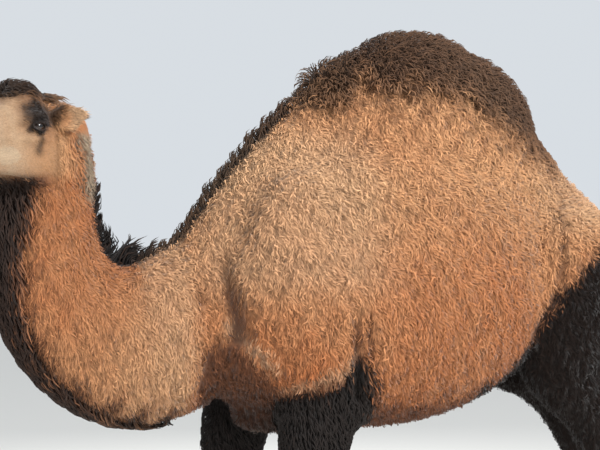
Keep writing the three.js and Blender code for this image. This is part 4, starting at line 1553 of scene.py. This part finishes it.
def growRim(name, material, ways, centre):
    # The rim runs round the opening, on the lids' inner edge.
    half, height = skinSizes["lidOpening"]
    steps, sides = 48, 8
    turns = np.linspace(0, 2 * math.pi, steps, endpoint=False)
    a, b = (half - 0.4) * np.cos(turns), (height - 0.6) * np.sin(turns) * np.abs(np.sin(turns)) ** 0.25
    middle = ontoLids(a, b)
    around = unit(np.roll(middle, -1, axis=0) - np.roll(middle, 1, axis=0))
    outward = unit(middle)
    beside = np.cross(around, outward)
    angles = np.linspace(0, 2 * math.pi, sides, endpoint=False)
    ring = [middle + eye["rim"] * (math.cos(angle) * outward + math.sin(angle) * beside) for angle in angles]
    index = np.arange(steps * sides).reshape(steps, sides)
    nextTurn, nextStep = np.roll(index, -1, axis=0), np.roll(index, -1, axis=1)
    faces = np.stack([index, nextTurn, np.roll(nextTurn, -1, axis=1), nextStep], axis=-1).reshape(-1, 4)
    rim = addMesh(name, fromHead(np.stack(ring, axis=1).reshape(-1, 3) @ ways + centre), faces, material)
    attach(rim, "root")


def growLashes(name, material, ways, centre, seed):
    # Two rows of long lashes on the upper lid and one of short ones on the lower, each a thin three-sided
    # spike that curves down (upper lid) or up (lower lid) at its tip.
    half, height = skinSizes["lidOpening"]
    draw = np.random.default_rng(seed)
    share = np.concatenate([np.tile(np.linspace(0.1, 0.9, 34), 2), np.linspace(-0.85, -0.15, 26)])
    share += draw.normal(0, 0.012, len(share))
    a, b = (half + 0.5) * np.cos(share * math.pi), (height + 0.5) * np.sin(share * math.pi)
    root = ontoLids(a, b, 1.0)
    isUpper = share > 0
    long = np.where(isUpper, *eye["lashes"]) * draw.uniform(0.75, 1.2, len(share))
    way = unit(np.stack([a * 0.05, np.where(isUpper, 0.25, -0.5), np.ones(len(a))], axis=1))
    rings = 4
    each = rings * 3 + 1
    points = np.empty((len(share), each, 3))
    for k in range(rings + 1):
        t = k / rings
        middle = root + way * (long * t * (1 - 0.15 * t))[:, None]
        middle[:, 1] += np.where(isUpper, -0.55, 0.1) * long * t * t
        if k == rings:
            points[:, -1] = middle
            continue
        for j, angle in enumerate(np.radians((90, 210, 330))):
            thick = eye["lashWidth"] * (1 - 0.7 * t)
            points[:, k * 3 + j] = middle + thick * np.array([math.cos(angle), math.sin(angle), 0])
    faces = lockFaces(rings)[0][None, :, ::-1] + np.arange(len(share))[:, None, None] * each
    lash = addMesh(name, fromHead(points.reshape(-1, 3) @ ways + centre), faces.reshape(-1, 3), material)
    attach(lash, "root")


def makeEyes():
    wet, lid = eyeMaterial(), lidMaterial()
    for side, where in ((1, "left"), (-1, "right")):
        centre, ways = eyeFrame(side)
        makeEyeball(f"eyeball_{where}", wet, f"eye_{where}", ways, centre)
        growRim(f"lid_rim_{where}", lid, ways, centre)
        growLashes(f"lashes_{where}", lid, ways, centre, 900 + side)


makeEyes()

nail = {"root": "#1E1814", "worn": "#54473A", "ridges": 90.0, "narrows": 0.25, "turnsDown": 0.22}


# Horn grown in layers: dull and dark, ridged across every 3.5 mm, with paler worn patches.
def hornMaterial():
    material, tree = newMaterial("layeredHorn")
    place = add(tree, "TexCoord").outputs["Object"]
    rings = add(tree, "TexWave", {"bands_direction": "Y"}, Vector=place, Scale=nail["ridges"], Distortion=2.0,
                Detail=2.0)
    stain = add(tree, "TexNoise", None, Vector=place, Scale=120.0, Detail=3.0)
    colour = add(tree, "Mix", colours, socket0=stain.outputs["Fac"], socket6=linear(nail["root"]),
                 socket7=linear(nail["worn"]))
    bump = add(tree, "Bump", None, Strength=0.25, Distance=0.0008, Height=rings.outputs["Fac"])
    finishMaterial(tree, Base_Color=colour.outputs[2], Roughness=0.5, Normal=bump.outputs[0])
    return material


def makeNails():
    horn = hornMaterial()
    for node in [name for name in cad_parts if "nail" in name]:
        low, high = (np.array(corner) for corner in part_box(node))
        bm = bmesh.new()
        bmesh.ops.create_uvsphere(bm, u_segments=28, v_segments=18, radius=1)
        for v in bm.verts:
            x, y, z = v.co
            # A blunt claw: its back is lost in the toe, its front narrows and turns down.
            front = max(0.0, -y)
            thin = 1 - nail["narrows"] * front
            shaped = np.array((x * thin, y, z * thin - nail["turnsDown"] * front * front + 0.05))
            v.co = Vector((low + high) / 2 + shaped * (high - low) / 2 * (0.95, 1.0, 0.9))
        addFrom(bm, f"claw_{node}", horn, node)


makeNails()
print("eyes and nails made")

studio = {
    "floor": "#E9E6E0", "sky": "#E8EEF4", "skyStrength": 0.85,
    "lit": (0, 0, 1.3),  # where the lights point, in metres
    "lights": (  # name, place in metres, power and size
        ("key", (4.5, 1.6, 4.2), 420, 2.2), ("fill", (3.2, -4.5, 2.6), 110, 3.0),
        ("rim", (-4.0, 1.0, 4.0), 160, 2.5),
    ),
    "cameraPlace": (3947, -1386, 1500), "cameraTurn": 70, "cameraTip": 1.1, "lens": 77.4,
}


# Pale matt paint that shows only the shadow.
def makeFloor():
    material, tree = newMaterial("paleFloor")
    finishMaterial(tree, Base_Color=linear(studio["floor"]), Roughness=0.9)
    corners = np.array([(-1, -1, 0), (1, -1, 0), (1, 1, 0), (-1, 1, 0)]) * 60000.0
    floor = addMesh("floor", corners, np.array([[0, 1, 2, 3]]), material)
    floor.location.z = -0.0005


def makeLights():
    world = bpy.data.worlds.new("studio")
    bpy.context.scene.world = world
    world.use_nodes = True
    sky = world.node_tree.nodes["Background"]
    sky.inputs["Color"].default_value = linear(studio["sky"])
    sky.inputs["Strength"].default_value = studio["skyStrength"]
    for name, place, power, size in studio["lights"]:
        light = addToScene(name, bpy.data.lights.new(name, "AREA"))
        light.data.energy, light.data.size = power, size
        light.location = place
        light.rotation_euler = (Vector(studio["lit"]) - light.location).to_track_quat("-Z", "Y").to_euler()


def makeCamera():
    camera = addToScene("camera", bpy.data.cameras.new("camera"))
    camera.data.lens, camera.data.sensor_width = studio["lens"], 36
    camera.location = toShared(studio["cameraPlace"])
    turn, tip = math.radians(studio["cameraTurn"]), math.radians(studio["cameraTip"])
    look = Vector((-math.sin(turn) * math.cos(tip), math.cos(turn) * math.cos(tip), math.sin(tip)))
    camera.rotation_euler = look.to_track_quat("-Z", "Y").to_euler()
    bpy.context.scene.camera = camera


makeFloor()
makeLights()
makeCamera()
bpy.context.scene.view_settings.view_transform = "Standard"
